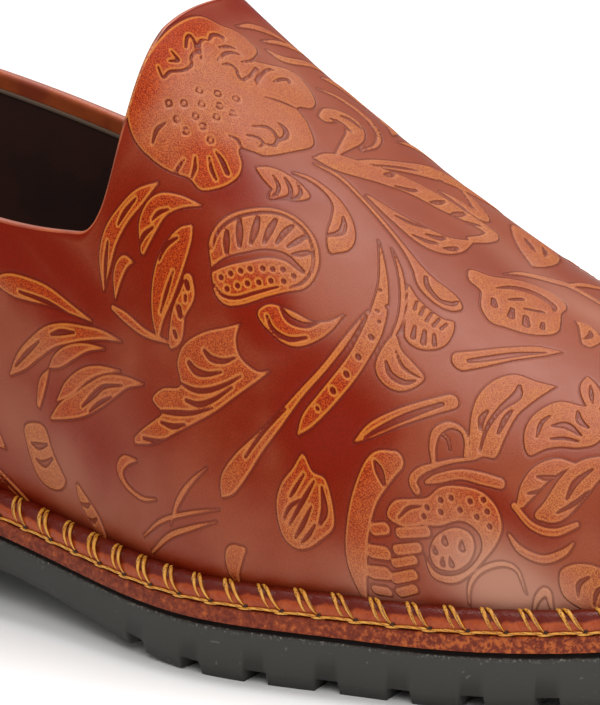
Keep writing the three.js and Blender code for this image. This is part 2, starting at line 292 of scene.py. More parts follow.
BANDED_LEAF = [
    raised((160, 8, 1.0), (160.2, 5, 1.8), (162.5, 2.7, 2.1), (165, 5.5, 1.6), (166, 10, 1.0),
        (166.8, 15.2, .2)),
    cut((160.6, 3.4, .15), (162, 2.1, .5), (164.2, 1.8, .2)),
    cut((160.6, 6.6, .2), (162, 5.5, .55), (164.1, 5.3, .2)),
    raised((154.6, 1.2, .2), (157.5, -1.6, .5), (162, -2.8, .6), (166, -1, .5), (168, 3, .4), (168, 8, .2)),
]
RIDGE_LANCE = [
    raised((169, 14, .3), (171, 8.5, 1.0), (174, 1.5, 1.5), (177, -4.5, 2.0), (181, -9.5, 1.6),
        (185, -13, .3)),
    cut((176.2, 3.3, .15), (178, 0, .5), (178, -3.2, .2)),
    cut((170.5, 11, .1), (173.4, 3.6, .25), (175, 0, .1)),
    raised((180, .4, .2), (183, -1, .8), (187, -2.3, 1.3), (185, -4.4, 1.2), (181, -6.2, .5)),
    cut((181.6, -3.4, .2), (184, -2.9, .35), (185.6, -3, .15)),
]
FOLDED_LEAF = [
    raised((165.3, 19.6, .3), (168, 16.4, 2.2), (172.5, 11.5, 2.3), (177, 6.8, 2.4), (182, 3.8, 2.4),
        (187, 1.2, 1.6), (190.6, .2, 1.3), (191.2, 3.2, 1.0), (190.4, 7, .8)),
    cut((174, 6.8, .2), (173.9, 8.4, .55), (173.6, 9.4, .25)),
    cut((178.4, 6, .2), (177.8, 7.8, .4), (176.2, 10, .2)),
    cut((182, 2.4, .2), (181.8, 4.6, .5), (181.3, 6.2, .2)),
    cut((185.4, 1, .3), (185.1, 3, .6), (184.8, 5.4, .2)),
    cut((188.6, .6, .15), (187.4, 2.7, .35), (186, 4.6, .15)),
    raised((190.7, 8, .5), (189.8, 12.6, 1.9), (187, 16, 2.9), (181.5, 17.6, 1.7), (175.5, 18.2, .4)),
    cut((190.6, 12.4, .2), (190.4, 13.8, .5), (189.6, 15.4, .2)),
    cut((188, 12.5, .25), (187.6, 14, .5), (186, 15.6, .2)),
    cut((188.4, 15.4, .15), (187, 17.2, .4), (184.8, 18.5, .15)),
    cut((185, 14.2, .15), (182.8, 16.2, .35), (180.6, 17.4, .15)),
]
TAILED_DROP = [
    raised((166, 21, .2), (170, 19.3, .5), (175, 19.9, .45), (181, 21.4, .5), (186, 23.1, .6),
        (190, 25, 1.2), (193.2, 26.5, 2.3), (196.5, 26.5, 2.5), (198.2, 26.2, 1.4)),
    cut((191.6, 25.3, .3), (193, 27, .45), (195.8, 27.8, .4), (197.8, 26.6, .45), (198.2, 25.2, .2)),
]
COMMA_DROP = [
    raised((164.8, 26.4, .2), (167.5, 24.9, .5), (171, 24.6, .7), (174, 25.8, 1.2), (176.3, 28.5, 2.1),
        (177.5, 31.5, 2.4), (177.6, 34.2, 1.2), (177.8, 35.8, .15)),
    cut((175.6, 27.2, .2), (176.6, 28.7, .5), (176.9, 30.7, .5), (175.6, 33.2, .15)),
]
COMMA_LEAF = [
    raised((160, 31.1, .4), (163, 30.4, 2.1), (166, 29.9, 2.5), (168.4, 28.9, 1.1)),
    raised((165.6, 31, 1.8), (164.4, 34.4, .4)),
    cut((164.2, 28.7, .15), (166, 29.8, .35), (166.8, 31.5, .3), (165.6, 33.5, .1)),
    cut((162.4, 30, .1), (164.3, 31.1, .3), (164.9, 32.8, .25), (164.5, 34.2, .1)),
    cut((166.4, 27.9, .1), (167.8, 29, .3), (167.9, 30.6, .25), (166.9, 32.3, .1)),
]
POD_RIM = (
    (171, 34.3), (174.5, 35.5), (177, 38.5), (177.9, 42), (177.3, 45.3), (175, 48), (172, 51.5), (169, 55),
    (166, 57.2), (163.2, 56.9), (161.5, 54.6), (160.2, 52.3), (158.6, 49.6), (158.6, 46.3), (159.8, 43),
    (162, 39.8), (165, 36.6), (168, 34.8),
)
POD = [
    raised(*POD_RIM), cut((159.6, 50.2, .1), (159.5, 46.6, .22), (160.9, 43, .22), (163.2, 39.8, .22),
        (166, 37, .22), (169, 35.5, .22), (172.5, 35.7, .22), (175.4, 38, .22), (176.8, 41.6, .22),
        (176.4, 44.8, .2), (175, 47, .1)),
    cut((161, 53.4, .3), (163, 50.4, .65), (166, 47.2, .75), (169, 44.2, .75), (172, 42.6, .7),
        (175.6, 42.7, .4)),
    cut((160.9, 45.6, .35), (161.6, 47.4, .6), (162.4, 49, .35)),
    cut((162, 42.2, .35), (163, 44.3, .65), (164, 46.4, .35)),
    cut((164.6, 39.6, .4), (165.2, 42, .65), (165.6, 44.6, .3)),
    cut((167.3, 37.6, .35), (167.4, 40.4, .6), (167.6, 43, .25)),
    cut((170.2, 36.4, .3), (169.7, 38.6, .5), (169.5, 41.4, .25)),
    cut((172.8, 36.6, .35), (172.2, 38.6, .45), (171.4, 40.6, .2)),
    cut((174.9, 38.6, .35), (173.9, 40, .5), (172.8, 41.2, .2)),
    cut((162.4, 55.4, .1), (164.5, 56.1, .2), (167.2, 54.9, .2), (170.2, 51.7, .2), (173.2, 48.3, .1)),
] + dots(.42, (174.7, 44.6), (172.6, 44.9), (171, 46.1), (173.6, 46.7), (169.4, 47.2), (171.6, 48.2),
    (167.4, 48.8), (169.8, 49.9), (166, 50.2), (168, 51.4), (164.5, 51.8), (166.5, 52.9), (163.1, 53.5),
    (164.9, 54.6))
BOAT_LEAF = [
    raised((185, 44.4, .1), (183.7, 48, .8), (181.5, 51, 1.7), (178, 53.2, 3.0), (174.8, 53.8, 2.5),
        (173, 54.4, 1.4)),
    cut((175, 51.2, .2), (177.2, 52, .6), (180, 51, .45), (181.8, 49, .15)),
    cut((173.4, 54.2, .15), (175.4, 55.6, .35), (178.5, 55.1, .35), (181.2, 52.6, .15)),
]
STEMS = [
    raised((182.2, 25.8, .1), (185, 29.5, .5), (187.5, 33.5, .9), (189.3, 38, 1.4), (190.3, 43, 1.7),
        (190.3, 49, 1.6), (189.5, 54, 1.6), (187.8, 60, 1.5), (186, 65, 1.2), (185, 68.4, .2)),
    raised((188, 40.5, .1), (187.2, 48, .55), (185.8, 55, .55), (183.5, 62, .6), (181, 69, .9),
        (178.3, 75, 1.3), (176, 80, 1.8), (174, 84.5, 1.7), (173, 87.4, .3)),
    cut((181.8, 66, .1), (179, 72, .25), (176.5, 78.4, .15)),
    raised((184.6, 25.2, .1), (188, 28.3, .45), (191, 32.5, .5), (193, 37, .5), (193.7, 41.5, .35)),
] + dots(.5, (190.3, 36.9), (190.6, 44.2), (190.2, 49), (189.6, 53.2),
    (188.5, 57.4)) + dots(.3, (187.6, 35), (189.2, 39), (190.4, 40.6), (187, 62))
GRASS = [
    cut((x, g, .05), ((x + u) / 2 + .5, (g + v) / 2 + .2, .16),
        (u, v, .05)) for x, g, u, v in ((184.2, 49.5, 180.4, 56.8), (182.8, 53.4, 179.2, 60.6),
        (184.6, 54, 181.8, 59.5), (180.5, 57.5, 176.6, 63.4), (182.2, 60.4, 178.2, 67),
        (177.6, 62.4, 171.5, 71.6), (180, 64.6, 175.6, 71.4), (176.4, 66, 169.8, 75.4),
        (177.5, 69.8, 173, 76.4), (174.4, 72, 167, 81.4), (176, 73.4, 171.2, 80.2),
        (171.8, 77.6, 165.6, 85.6), (172.6, 80.4, 168.6, 86), (169.4, 83.6, 164.4, 90.6),
        (167.8, 88.6, 163.2, 96))
]
HOOF_LEAF = [
    raised((190.6, 29.8), (193, 30.8), (196, 31.2), (198.8, 30.8), (200.2, 29.9), (201.4, 32.4),
        (201.6, 35.5), (200.4, 38), (198, 39.9), (195.4, 39.8), (193.9, 37), (192.4, 33.5)),
    cut((193.3, 31.6, .2), (193.9, 33.4, .25)),
    cut((194.8, 31.5, .2), (195.2, 33.6, .28)),
    cut((196.4, 31.6, .2), (196.6, 33.8, .28)),
    cut((198, 31.5, .2), (198, 33.7, .28)),
    cut((199.5, 31.4, .2), (199.3, 33.2, .25)),
    cut((195.6, 36.4, .25), (196.4, 38.6, .45)),
    cut((197.4, 35.9, .3), (198.3, 38.2, .5)),
    cut((199, 35.2, .25), (200, 37, .4)),
]
BOWL_LEAF = [
    raised((193.7, 40.6), (196, 42.3), (199, 43), (201.6, 44), (200.8, 47), (198.5, 49.5), (195.5, 50),
        (193.4, 48.4), (193, 44.6)),
    cut((194.9, 43, .1), (197.6, 44.9, .25), (201, 44.6, .1)),
    cut((194.6, 46.2, .2), (196.4, 47.7, .55), (199, 47.2, .45), (200.4, 45.6, .15)),
]
SLOTTED_LEAF = [
    raised((195, 15.3), (198, 12.5), (200, 9), (202, 6.4), (205, 4.3), (208.4, 4.4), (210, 6.2), (210.6, 9),
        (212.2, 12), (213.5, 15.2), (212.9, 18), (210.5, 21), (207, 23), (204.5, 24.2), (201.6, 22.6),
        (200, 20), (199, 18.5), (196.4, 18.1)),
    cut((200.2, 14.8, .1), (201.8, 11, .45), (204.5, 8.3, .65), (208, 8, .6), (209.4, 9.6, .2)),
    cut((203.2, 15.4, .2), (204.4, 12.6, .35)),
    cut((206.2, 14.8, .25), (208.6, 12.2, .3)),
    cut((201.6, 18.2, .35), (202.6, 19.6, .6)),
    cut((205, 17.2, .35), (206, 19.4, .65)),
    cut((207.6, 16.8, .45), (208.9, 18.9, .7)),
    cut((210.4, 15.4, .3), (211.2, 17, .45)),
]
SPEAR = [
    raised((217.2, 20.4, .2), (214.6, 23.4, 1.3), (211, 28.5, 1.6), (208, 33, 1.8), (205.4, 36.4, 1.9)),
    cut((215.6, 22.8, .1), (212, 27.6, .5), (209, 32, .55), (206.4, 35.4, .4)),
]
LONG_SPEAR = [
    raised((207.6, 44.8, 1.4), (204.5, 48.5, 1.4), (200.5, 53.5, 1.35), (197, 58.5, 1.1),
        (194.8, 62.4, .2)),
    cut((206.4, 46.2, .35), (202, 52, .5), (198.5, 57, .35), (196.2, 60.6, .1)),
]
FORKED_LEAF = [
    raised((221.6, 29.7), (221.6, 29.7), (218, 31), (214.5, 32), (212.3, 35), (211.2, 39), (211.3, 43),
        (212.5, 47), (214.3, 51), (215.2, 52.4), (217, 50.5), (219, 49.5), (219, 45), (219, 40),
        (220, 35.6)),
    cut((216.2, 34, .3), (216.9, 36.4, .85), (215.8, 40.5, .5), (215.3, 45, .35), (215.9, 50, .15)),
    cut((213.9, 42.4, .25), (213.7, 44.4, .55), (214.4, 46.4, .2)),
    cut((217.6, 39.6, .2), (217.4, 42, .45), (217.5, 45.2, .2)),
]
SMALL_CURL = [
    raised((208.9, 56.3, .5), (207.8, 53.9, .7), (207.6, 51.3, .8), (209.2, 48.8, .6), (211.6, 48.4, .45),
        (213.2, 49.9, .5), (214, 52.1, .5)),
    raised((208.4, 51, .12), (209.9, 51.4, .22), (210.9, 52.8, .12)),
    raised((207.6, 62.6, .8), (206.5, 61.6, .8), (207.2, 59.4, .7), (209.4, 56.9, .5), (212, 54.4, .4),
        (215.2, 52, .3)),
    raised((208.8, 60.4, .3), (210.6, 58.6, .8), (214.1, 55.7, .9), (217.8, 54.3, 1.1), (221.4, 53.3, 1.0)),
]
SNAIL = [
    raised((203.5, 69.8), (204.1, 66.7), (207, 64.5), (209.7, 62.6), (211.5, 59.6), (214.7, 57.5),
        (218.8, 56.3), (222.2, 57.4), (224, 60.1), (223.6, 63.4), (221.9, 67), (219.8, 70.6), (217, 73.6),
        (213.2, 74.6), (211.2, 71.6), (211.2, 71.6), (213.6, 73.4), (216.6, 72.4), (219.2, 70), (220.9, 67),
        (221.2, 64.6), (219.8, 62.9), (216.6, 62.9), (213.2, 65.7), (210.4, 67.2), (206.6, 69.7)),
    raised((215.6, 64.6), (218.6, 63.9), (220, 65.6), (219.4, 68.6), (217, 71.4), (213.8, 72.6),
        (212.2, 70.8), (212.9, 67.6)),
    cut((214.3, 66.7, .2), (214.6, 67.7, .65)),
    cut((217.5, 65.9, .2), (217.8, 67, .65)),
    cut((212.8, 69.4, .2), (213.2, 70.2, .5)),
    cut((214.6, 70.4, .2), (214.8, 71.4, .5)),
    cut((216, 69.7, .2), (216.4, 70.6, .55)),
    cut((205.6, 68.8, .1), (207, 66.2, .25), (209, 64.6, .1)),
] + dots(.42, (213.9, 60.2), (217.3, 58.9), (219.5, 57.4), (220.7, 58.9), (219.2, 60.7), (221.8, 61),
    (210.2, 64.1), (212.8, 63.4), (210, 65.8), (212.2, 61.6), (216, 61.2))
CRESCENT_LEAF = [
    raised((202.6, 60.4, 1.6), (200.4, 63.4, 2.6), (199, 69, 2.3), (198.7, 75, 2.2), (199.1, 81, 2.0),
        (200.4, 86.4, .6)),
    cut((199.2, 63, .3), (200.4, 63.9, .8), (201.6, 65.2, .4)),
]
RIBBED_LEAF = [
    raised((x, g, r), (u, v, r)) for x, g, u, v, r in ((201.6, 73.4, 203.6, 71.9, 1.0),
        (201.6, 77.2, 204.3, 75.8, 1.1), (201.8, 80.7, 204.7, 79.1, 1.1), (202.6, 83.4, 205, 82.2, .8),
        (206.3, 71, 211, 67.9, .9), (206.2, 74, 210, 71.3, .85), (206.1, 76.4, 209.6, 73.7, .75),
        (206.2, 79, 209.7, 76.2, .9), (207.1, 81, 209.9, 78.6, .8))
]
VEINED_LEAF = [
    raised((186.6, 70.6), (189, 72.1), (191.4, 71.6), (193.5, 74.4), (194.4, 78), (192.6, 81.4), (190, 85),
        (187.4, 86.7), (185, 85.9), (183.5, 82), (183.8, 78), (185.4, 74)),
    cut((189.6, 73.4, .1), (188.2, 78, .3), (186.3, 83.6, .1)),
    cut((191.2, 73.4, .2), (192.3, 76.5, .6), (191.8, 79.4, .2)),
    cut((187.6, 73.6, .1), (186.5, 77, .22), (185.8, 79, .1)),
    cut((187.6, 78.2, .1), (186, 80.6, .22), (185.2, 83.4, .1)),
    cut((189.9, 77.6, .1), (188.8, 81.6, .3), (187.6, 84.8, .1)),
    cut((191, 80, .1), (190, 82.6, .25), (188.8, 84.8, .1)),
]
BIG_FLOWER = [
    raised((231.6, 30.4), (227.4, 31.4), (224, 32.6), (222, 36), (221.2, 40), (222, 43.6), (224.2, 46),
        (226.4, 43.4), (228.6, 41.6), (231.4, 40.3), (234, 38), (234.6, 34)),
    cut((227.8, 33, .2), (229.2, 34.8, .6), (231.2, 35.4, .2)),
    cut((225.4, 38.4, .2), (227.6, 37, .75), (230.8, 37.6, .2)),
    cut((224, 36.6, .15), (223.4, 39, .35), (224, 42, .15)),
    cut((226.4, 41, .15), (228.6, 39.6, .3), (231, 39, .15)),
    raised((232, 43.8, .5), (229.6, 45.2, 1.4), (227.6, 48, 1.8), (226.5, 51.4, 1.6), (226, 54.6, .8)),
    cut((227.2, 48.8, .2), (228.8, 48.2, .5), (231, 46.8, .15)),
    cut((226.6, 52.4, .15), (228.2, 51.2, .3), (229.6, 49.6, .1)),
    raised((237.4, 40.8, 1.6), (235, 44, 2.6), (233.6, 48, 2.8), (232, 52.6, 2.2), (229.6, 55, .8)),
    cut((235.6, 43, .2), (233.8, 46.6, .5), (233.4, 50, .2)),
    cut((236.6, 47, .15), (235, 50, .35), (232.6, 53, .15)),
    raised((225, 55.6, .6), (229, 57.2, .7), (233, 56.4, .7), (236.4, 53.4, .5)),
    raised((225.4, 60.6, .3), (228, 62, .7), (232, 61.6, .7), (235.2, 59, .6), (236.6, 56.6, .2)),
    raised((229.8, 68.6, .15), (228, 65.6, .35), (225.2, 65.8, .4), (221.9, 68.5, .4), (220, 72, .35),
        (219.8, 76, .15)),
    raised((230.8, 72, .15), (231.8, 68.4, .5), (233.4, 66.6, .7), (234.2, 70, .2)),
    raised((235.2, 62.2), (237.5, 59.8), (241, 58.6), (244.4, 59.2), (245, 63.4), (242.6, 66.8), (239, 67),
        (236, 65.8)),
    cut((240.2, 60.8, .1), (238.6, 62.8, .35), (238.6, 65, .1)),
    cut((243, 61, .1), (241.6, 63, .3), (241.2, 65.4, .1)),
]
TONGUE_FLOWER = [
    raised((135.6, 11), (138.4, 8.4), (140, 6.4), (142, 5.5), (143.9, 5.6), (145, 6.4), (146, 9.4),
        (147.4, 7.4), (149.4, 3.7), (151.4, 2.6), (154.2, 3.5), (156.8, 5.7), (157.6, 8.4), (156.6, 11.4),
        (159.8, 13.2), (163.3, 17), (162.3, 22), (159.9, 27.2), (157.8, 28.6), (155.8, 29.8), (155.9, 30.9),
        (157.5, 32.6), (158.1, 35.4), (156.7, 39), (153.6, 42.2), (150.6, 41.8), (147, 43), (143, 43.4),
        (138.6, 42.6), (135.4, 39), (134.6, 33), (134.4, 27), (134.6, 18)),
    cut((138.4, 20.2, .15), (137.4, 18.1, .2), (137.5, 17, .2), (138.7, 17.6, .2), (139.8, 18.9, .2),
        (140.1, 21.1, .2), (141, 22.6, .2), (140.6, 24.7, .2), (139, 27, .2), (138.6, 29, .15),
        (137, 28, .1)),
    cut((137.2, 23.3, .1), (138.9, 23.8, .25), (137.9, 25.3, .1)),
    cut((139.3, 15, .1), (139.1, 16.5, .22), (139.9, 17.9, .22), (141.6, 20, .1)),
    cut((139.9, 14.5, .12), (139.3, 13, .25), (139.6, 11.6, .3), (140.4, 10.7, .25), (140.9, 11.8, .1)),
    cut((141.5, 14.2, .12), (142.1, 12, .25), (142.9, 10.8, .12)),
    cut((143.2, 17, .1), (142.9, 14.4, .25), (143.3, 12.4, .25), (144.3, 11.1, .12)),
    cut((145.4, 12.7, .12), (145.9, 10.2, .22), (145.8, 8, .15)),
    cut((144.2, 16.9, .12), (144.7, 15.5, .22), (145.9, 15.2, .22), (147, 16.2, .22), (148, 16.4, .22),
        (148, 13.4, .2), (147.4, 10.8, .2), (147.9, 10.6, .2), (149.2, 14, .12)),
    cut((149.8, 14.8, .12), (148.7, 10.8, .22), (148.5, 8, .22), (149, 7, .12)),
    cut((150.8, 10.2, .15), (150.9, 7.8, .3), (151.5, 6.1, .25), (152, 7.1, .1)),
    cut((152.3, 15.6, .12), (154.3, 13.6, .22), (156.6, 11.8, .15)),
    cut((157.1, 18.8, .15), (158.5, 18.9, .4), (159.5, 20.4, .45), (159.4, 22.4, .15)),
    cut((154.7, 24, .1), (156.7, 21.6, .25), (158.8, 22.2, .25), (159.4, 24.2, .25), (158.4, 25.2, .12)),
    cut((155, 26.7, .1), (156.6, 25.4, .22), (158, 25.6, .22), (157.8, 27, .12)),
    cut((155.8, 29.8, .15), (154.4, 28.9, .22), (152.8, 29.4, .1)),
    cut((152.6, 34, .12), (154.3, 34.7, .4), (156.2, 36.1, .4)),
    cut((152.2, 35.9, .1), (153.5, 37.5, .3), (155, 38.6, .2)),
    cut((150, 37.6, .1), (150.8, 39.4, .3), (151, 41.2, .12)),
    cut((148.4, 39.4, .1), (148.1, 41.4, .25), (148, 43.2, .12)),
    cut((142.6, 36, .1), (141.8, 38.2, .3), (142, 40.8, .12)),
] + [cut((x + .62, g, .1), (x, g + .75, .1), (x - .62, g, .1), (x, g - .75, .1),
    (x + .62, g, .1)) for x, g in ((144.6, 25.9), (147.1, 23.5), (143.8, 30.3), (146.2, 27.9),
    (148.6, 25.5), (146.5, 30.8), (151, 24.8), (144.1, 33.9), (148.5, 31.5), (146.4, 34.6), (149.4, 28),
    (141.6, 32.4), (150.8, 32.8), (149.8, 21.4))]
LILY = [
    raised((154.4, 49.2, .5), (153.7, 52, 1.9), (152.9, 57, 2.8), (152.7, 62, 2.6), (153, 67, 1.4),
        (154.2, 70.6, .15)),
    cut((150.4, 58, .1), (150.9, 55, .35), (152.6, 52.4, .15)),
    cut((153.8, 58, .1), (153.6, 62, .3), (153.4, 66, .1)),
    raised((154.6, 44.6, .2), (150.6, 46.6, 1.2), (147.4, 49.6, 2.0), (146.2, 54, 2.0), (146.6, 58.6, .6)),
    cut((145.6, 58.4, .1), (146, 56, .35), (147.4, 53.6, .12)),
    cut((149.2, 49, .1), (147.6, 50.8, .3), (146.8, 52.6, .1)),
    raised((145.6, 46.2, .2), (143, 50.6, 1.3), (140.8, 55.4, 1.5), (139.2, 60.4, 1.7), (139, 65, 1.5),
        (139.8, 69.8, .2)),
    cut((138.8, 61.6, .1), (139.2, 65, .35), (140, 69, .1)),
    cut((142.4, 51.4, .1), (141, 54.8, .3), (140.2, 57.6, .1)),
    raised((145.2, 61.4, .15), (143.2, 62.6, 1.1), (142.4, 65.6, 1.1), (142.8, 69.4, .2)),
    raised((142.6, 71.2, .5), (146, 71, .9), (151, 70.9, .7), (157, 69.4, .2)),
    raised((157.2, 57.6, 1.1), (157.9, 60, 1.6), (157.2, 63.6, 1.5), (157.6, 67.4, 1.6), (157.2, 69.8, .5)),
    cut((157, 58.2, .45), (157.6, 58.9, .45)),
    cut((156.9, 63, .5), (157.6, 64, .5)),
    cut((157.2, 67.2, .35), (157.8, 67.8, .35)),
    cut((157.6, 60.4, .25), (157.8, 61.2, .25)),
]
ACANTHUS = [
    raised((169.4, 58.4), (169.4, 58.4), (169.6, 61.4), (171.4, 63.6), (175, 63.8), (177.2, 62.2),
        (175.4, 65.6), (172.4, 70.2), (169, 75), (165, 79.4), (161, 83.4), (157, 87.2), (152, 90),
        (151.6, 89.2), (153.4, 86.6), (156.2, 83.4), (157.6, 81.4), (155, 80.4), (157, 77.4), (160.4, 75.4),
        (160.6, 74), (159.2, 71.6), (159.8, 68), (163, 64), (166.8, 60.8)),
    cut((170.4, 64.2, .1), (168.6, 66, .35), (166, 67.1, .5), (164.2, 66.7, .3)),
    cut((168.6, 68, .1), (166, 69.9, .35), (163.5, 70.8, .6), (161.7, 70.3, .4)),
    cut((172.4, 66.4, .1), (170, 69.4, .25), (167, 72.2, .35), (164, 73.9, .35), (160.6, 74.5, .15)),
    cut((171.4, 69, .1), (168.5, 72.9, .3), (165.5, 75.6, .4), (162.6, 76.5, .25)),
    cut((168.4, 74.6, .1), (164.6, 77.6, .3), (161, 79.6, .4), (157.4, 81.3, .2)),
    cut((163.4, 80.3, .1), (160.6, 82.2, .4), (157.8, 83, .2)),
    cut((161.4, 83.8, .1), (158, 86.3, .35), (154, 87.9, .2)),
]
SCROLLS = [
    raised((138, 76.4, .2), (132.5, 77.7, .9), (127, 79.2, 1.6), (122, 81.5, 1.9), (118, 83.6, 1.8),
        (114.6, 85.4, .8)),
    cut((134, 78.4, .1), (127, 80.4, .3), (120, 83.4, .15)),
    raised((145.8, 75.3, .15), (141, 77, .8), (136.5, 79.5, 1.2), (132, 82.5, 1.6), (128, 86, 1.7),
        (124.5, 90.5, 1.6), (121.5, 95, 1.3), (118.8, 99.4, .2)),
    cut((134.2, 80.9, .1), (131, 83, .4), (128.4, 85.2, .12)),
    cut((125.6, 88.4, .1), (122.6, 92.8, .3), (120, 97, .1)),
    raised((142, 78.8, .15), (137.4, 81.5, .7), (133.5, 85, 1.2), (130.6, 88.4, 1.1), (128.6, 91, .2)),
    raised((128.4, 91.6, .2), (127, 95.2, .9), (126.2, 99.6, .5)),
    raised((152.4, 79.2, .15), (148, 81.3, 1.0), (144, 84.5, 1.9), (140.5, 88.2, 2.1), (137, 92, 1.9),
        (133, 95.8, 1.4), (129.6, 99.6, .3)),
    cut((147.4, 82.2, .1), (143, 85, .3), (140.5, 88, .4), (137.6, 92, .1)),
    cut((145, 85.6, .1), (142, 88.6, .3), (139.6, 91.6, .1)),
    raised((146.4, 80.2, .15), (141.6, 82.9, .7), (137.6, 86.3, 1.1), (134, 91, 1.2), (131, 95.4, .2)),
    raised((152.6, 92.6, .2), (149.6, 94.4, .9), (148.4, 97, .8), (150.6, 98.6, .5), (154.6, 98.4, .4),
        (158, 96.6, .15)),
    raised((169.2, 84.6, .1), (165.8, 89.4, .4), (163.4, 94, .5), (161.8, 99, .1)),
    raised((172.6, 90, .1), (166, 94.6, .35), (159.6, 99.6, .4), (154.6, 105.4, .2)),
    raised((172.2, 92.4, .1), (167, 96.6, .4), (161.4, 101.4, .5), (156.6, 107.4, .3)),
    raised((122.6, 106.2), (125.4, 103.4), (128, 102.6), (130.1, 105.6), (132.2, 107.4), (133.4, 108.8),
        (131.7, 111.6), (128.4, 113.4), (125.5, 113), (123.4, 109.6)),
    cut((124.4, 108, .15), (126, 107.4, .5), (128.6, 105.2, .15)),
    cut((125.5, 110.2, .15), (127.6, 109.6, .5), (130, 106.8, .15)),
    raised((136.9, 107.4, .6), (138.4, 109, 1.5), (140.6, 110.4, 1.9), (142.6, 112.4, 1.3),
        (143.4, 114, .4)),
    cut((137.4, 110, .1), (138.8, 109.6, .35), (140, 108.4, .1)),
    cut((139, 111.8, .1), (140.6, 111.4, .35), (141.8, 110, .1)),
    raised((178, 93.6, .4), (176, 96.2, 1.6), (175.6, 99.6, 1.2), (177, 102.6, .3)),
]
RIDGE_LEAVES = [
    raised((189.6, -9.6), (191.6, -5.6), (195, -2.2), (199.4, .4), (199.4, .4), (200.4, -3.4), (200, -8),
        (197.4, -12.4), (193, -13)),
    cut((193, -7.8, .2), (194.8, -6.4, .55), (196.6, -5.4, .2)),
    cut((195.4, -10.2, .2), (197, -8.4, .45), (198.2, -6, .15)),
    raised((198.6, 9.2, .1), (200, 5, .55), (203, .6, .8), (206, -2.4, .8), (211, -3.4, .7),
        (216, -2.4, .2)),
    raised((205.6, -3, .5), (206.6, -7, .7), (208.6, -11, .6), (213, -14, .2)),
    raised((213.6, 8.4, .4), (215.6, 8.6, 1.5), (217.8, 10.8, 2.0), (218.8, 13.6, 1.2)),
    cut((216.6, 8.8, .15), (217.6, 10.6, .45), (217.6, 12.8, .15)),
    raised((224.6, 23.6, .3), (226.6, 26.4, 1.8), (229, 29.4, 1.6), (230.4, 31.4, .3)),
    cut((226.2, 25.4, .1), (227.6, 27.6, .35), (229, 29.6, .1)),
    raised((139.6, 4.6, .2), (140.4, .6, .7), (142.4, -2.6, .7), (145, -5, .2)),
    raised((143.4, 2.2, .2), (144.4, -1.6, .6), (145.8, -5, .6), (147.4, -8, .2)),
    raised((145.3, 3.3, .3), (147.2, 2.2, .8), (148.6, -.6, .8), (149.6, -4, .7), (151.2, -7, .2)),
    raised((152.8, -3.4, .3), (155, -6.8, 1.5), (159.4, -9, 1.9), (164.4, -8.2, 1.2), (167, -4.6, .2)),
    cut((154.6, -6, .1), (158, -8, .4), (162.4, -8, .15)),
    raised((168.6, -4, .2), (169.8, -9, 1.0), (172.4, -14, 1.2), (176.4, -18, .3)),
]
VISIBLE_PATTERN = [
    BANDED_LEAF, RIDGE_LANCE, FOLDED_LEAF, TAILED_DROP, COMMA_DROP, COMMA_LEAF, POD, BOAT_LEAF, STEMS,
    GRASS, HOOF_LEAF, BOWL_LEAF, SLOTTED_LEAF, SPEAR, LONG_SPEAR, FORKED_LEAF, SMALL_CURL, SNAIL,
    CRESCENT_LEAF, RIBBED_LEAF, VEINED_LEAF, BIG_FLOWER, TONGUE_FLOWER, LILY, ACANTHUS, SCROLLS,
    RIDGE_LEAVES,
]


def curve_between(before, start, end, after, steps):
    """A smooth curve's points from start up to end, by the points before and after them."""
    t = np.linspace(0, 1, steps, endpoint=False)[:, None]
    return 0.5 * (2 * start + (end - before) * t + (2 * before - 5 * start + 4 * end - after) * t ** 2
                  + (3 * start - before - 3 * end + after) * t ** 3)


def smooth_run(points, closed=False, spacing=0.45):
    """A smooth curve through points; a point given twice keeps its corner."""
    points = np.asarray(points, float)
    if closed:
        chain = np.concatenate([points[-1:], points, points[:2]])
    else:
        chain = np.concatenate([2 * points[:1] - points[1:2], points, 2 * points[-1:] - points[-2:-1]])
    result = []
    for k in range(len(chain) - 3):
        steps = max(int(math.hypot(*(chain[k + 2] - chain[k + 1])[:2]) / spacing), 1)
        result.append(curve_between(*chain[k:k + 4], steps))
    if not closed:
        result.append(points[-1:])
    return np.concatenate(result)


def stroke_depth(x, g, points):
    """How far inside a stroke of changing width each place is, in millimetres."""
    run = smooth_run(points)
    best = np.full(x.shape, -99.0)
    for (ax, ag, ar), (bx, bg, br) in zip(run[:-1], run[1:]):
        dx, dg = bx - ax, bg - ag
        along = np.clip(((x - ax) * dx + (g - ag) * dg) / max(dx * dx + dg * dg, 1e-9), 0, 1)
        off = np.hypot(x - ax - along * dx, g - ag - along * dg)
        best = np.maximum(best, ar + (br - ar) * along - off)
    return best


def patch_depth(x, g, points):
    """How far inside a closed outline each place is, in millimetres."""
    run = smooth_run(points, closed=True)
    near = np.full(x.shape, 99.0)
    inside = np.zeros(x.shape, bool)
    for (ax, ag), (bx, bg) in zip(run, np.roll(run, -1, 0)):
        dx, dg = bx - ax, bg - ag
        along = np.clip(((x - ax) * dx + (g - ag) * dg) / max(dx * dx + dg * dg, 1e-9), 0, 1)
        near = np.minimum(near, np.hypot(x - ax - along * dx, g - ag - along * dg))
        crosses = (ag > g) != (bg > g)
        if crosses.any():
            inside ^= crosses & (x < ax + (g - ag) * dx / (dg if dg else 1e-9))
    return np.where(inside, near, -near)


# How far round a stroke its depth is worked out
REACH = 1.6


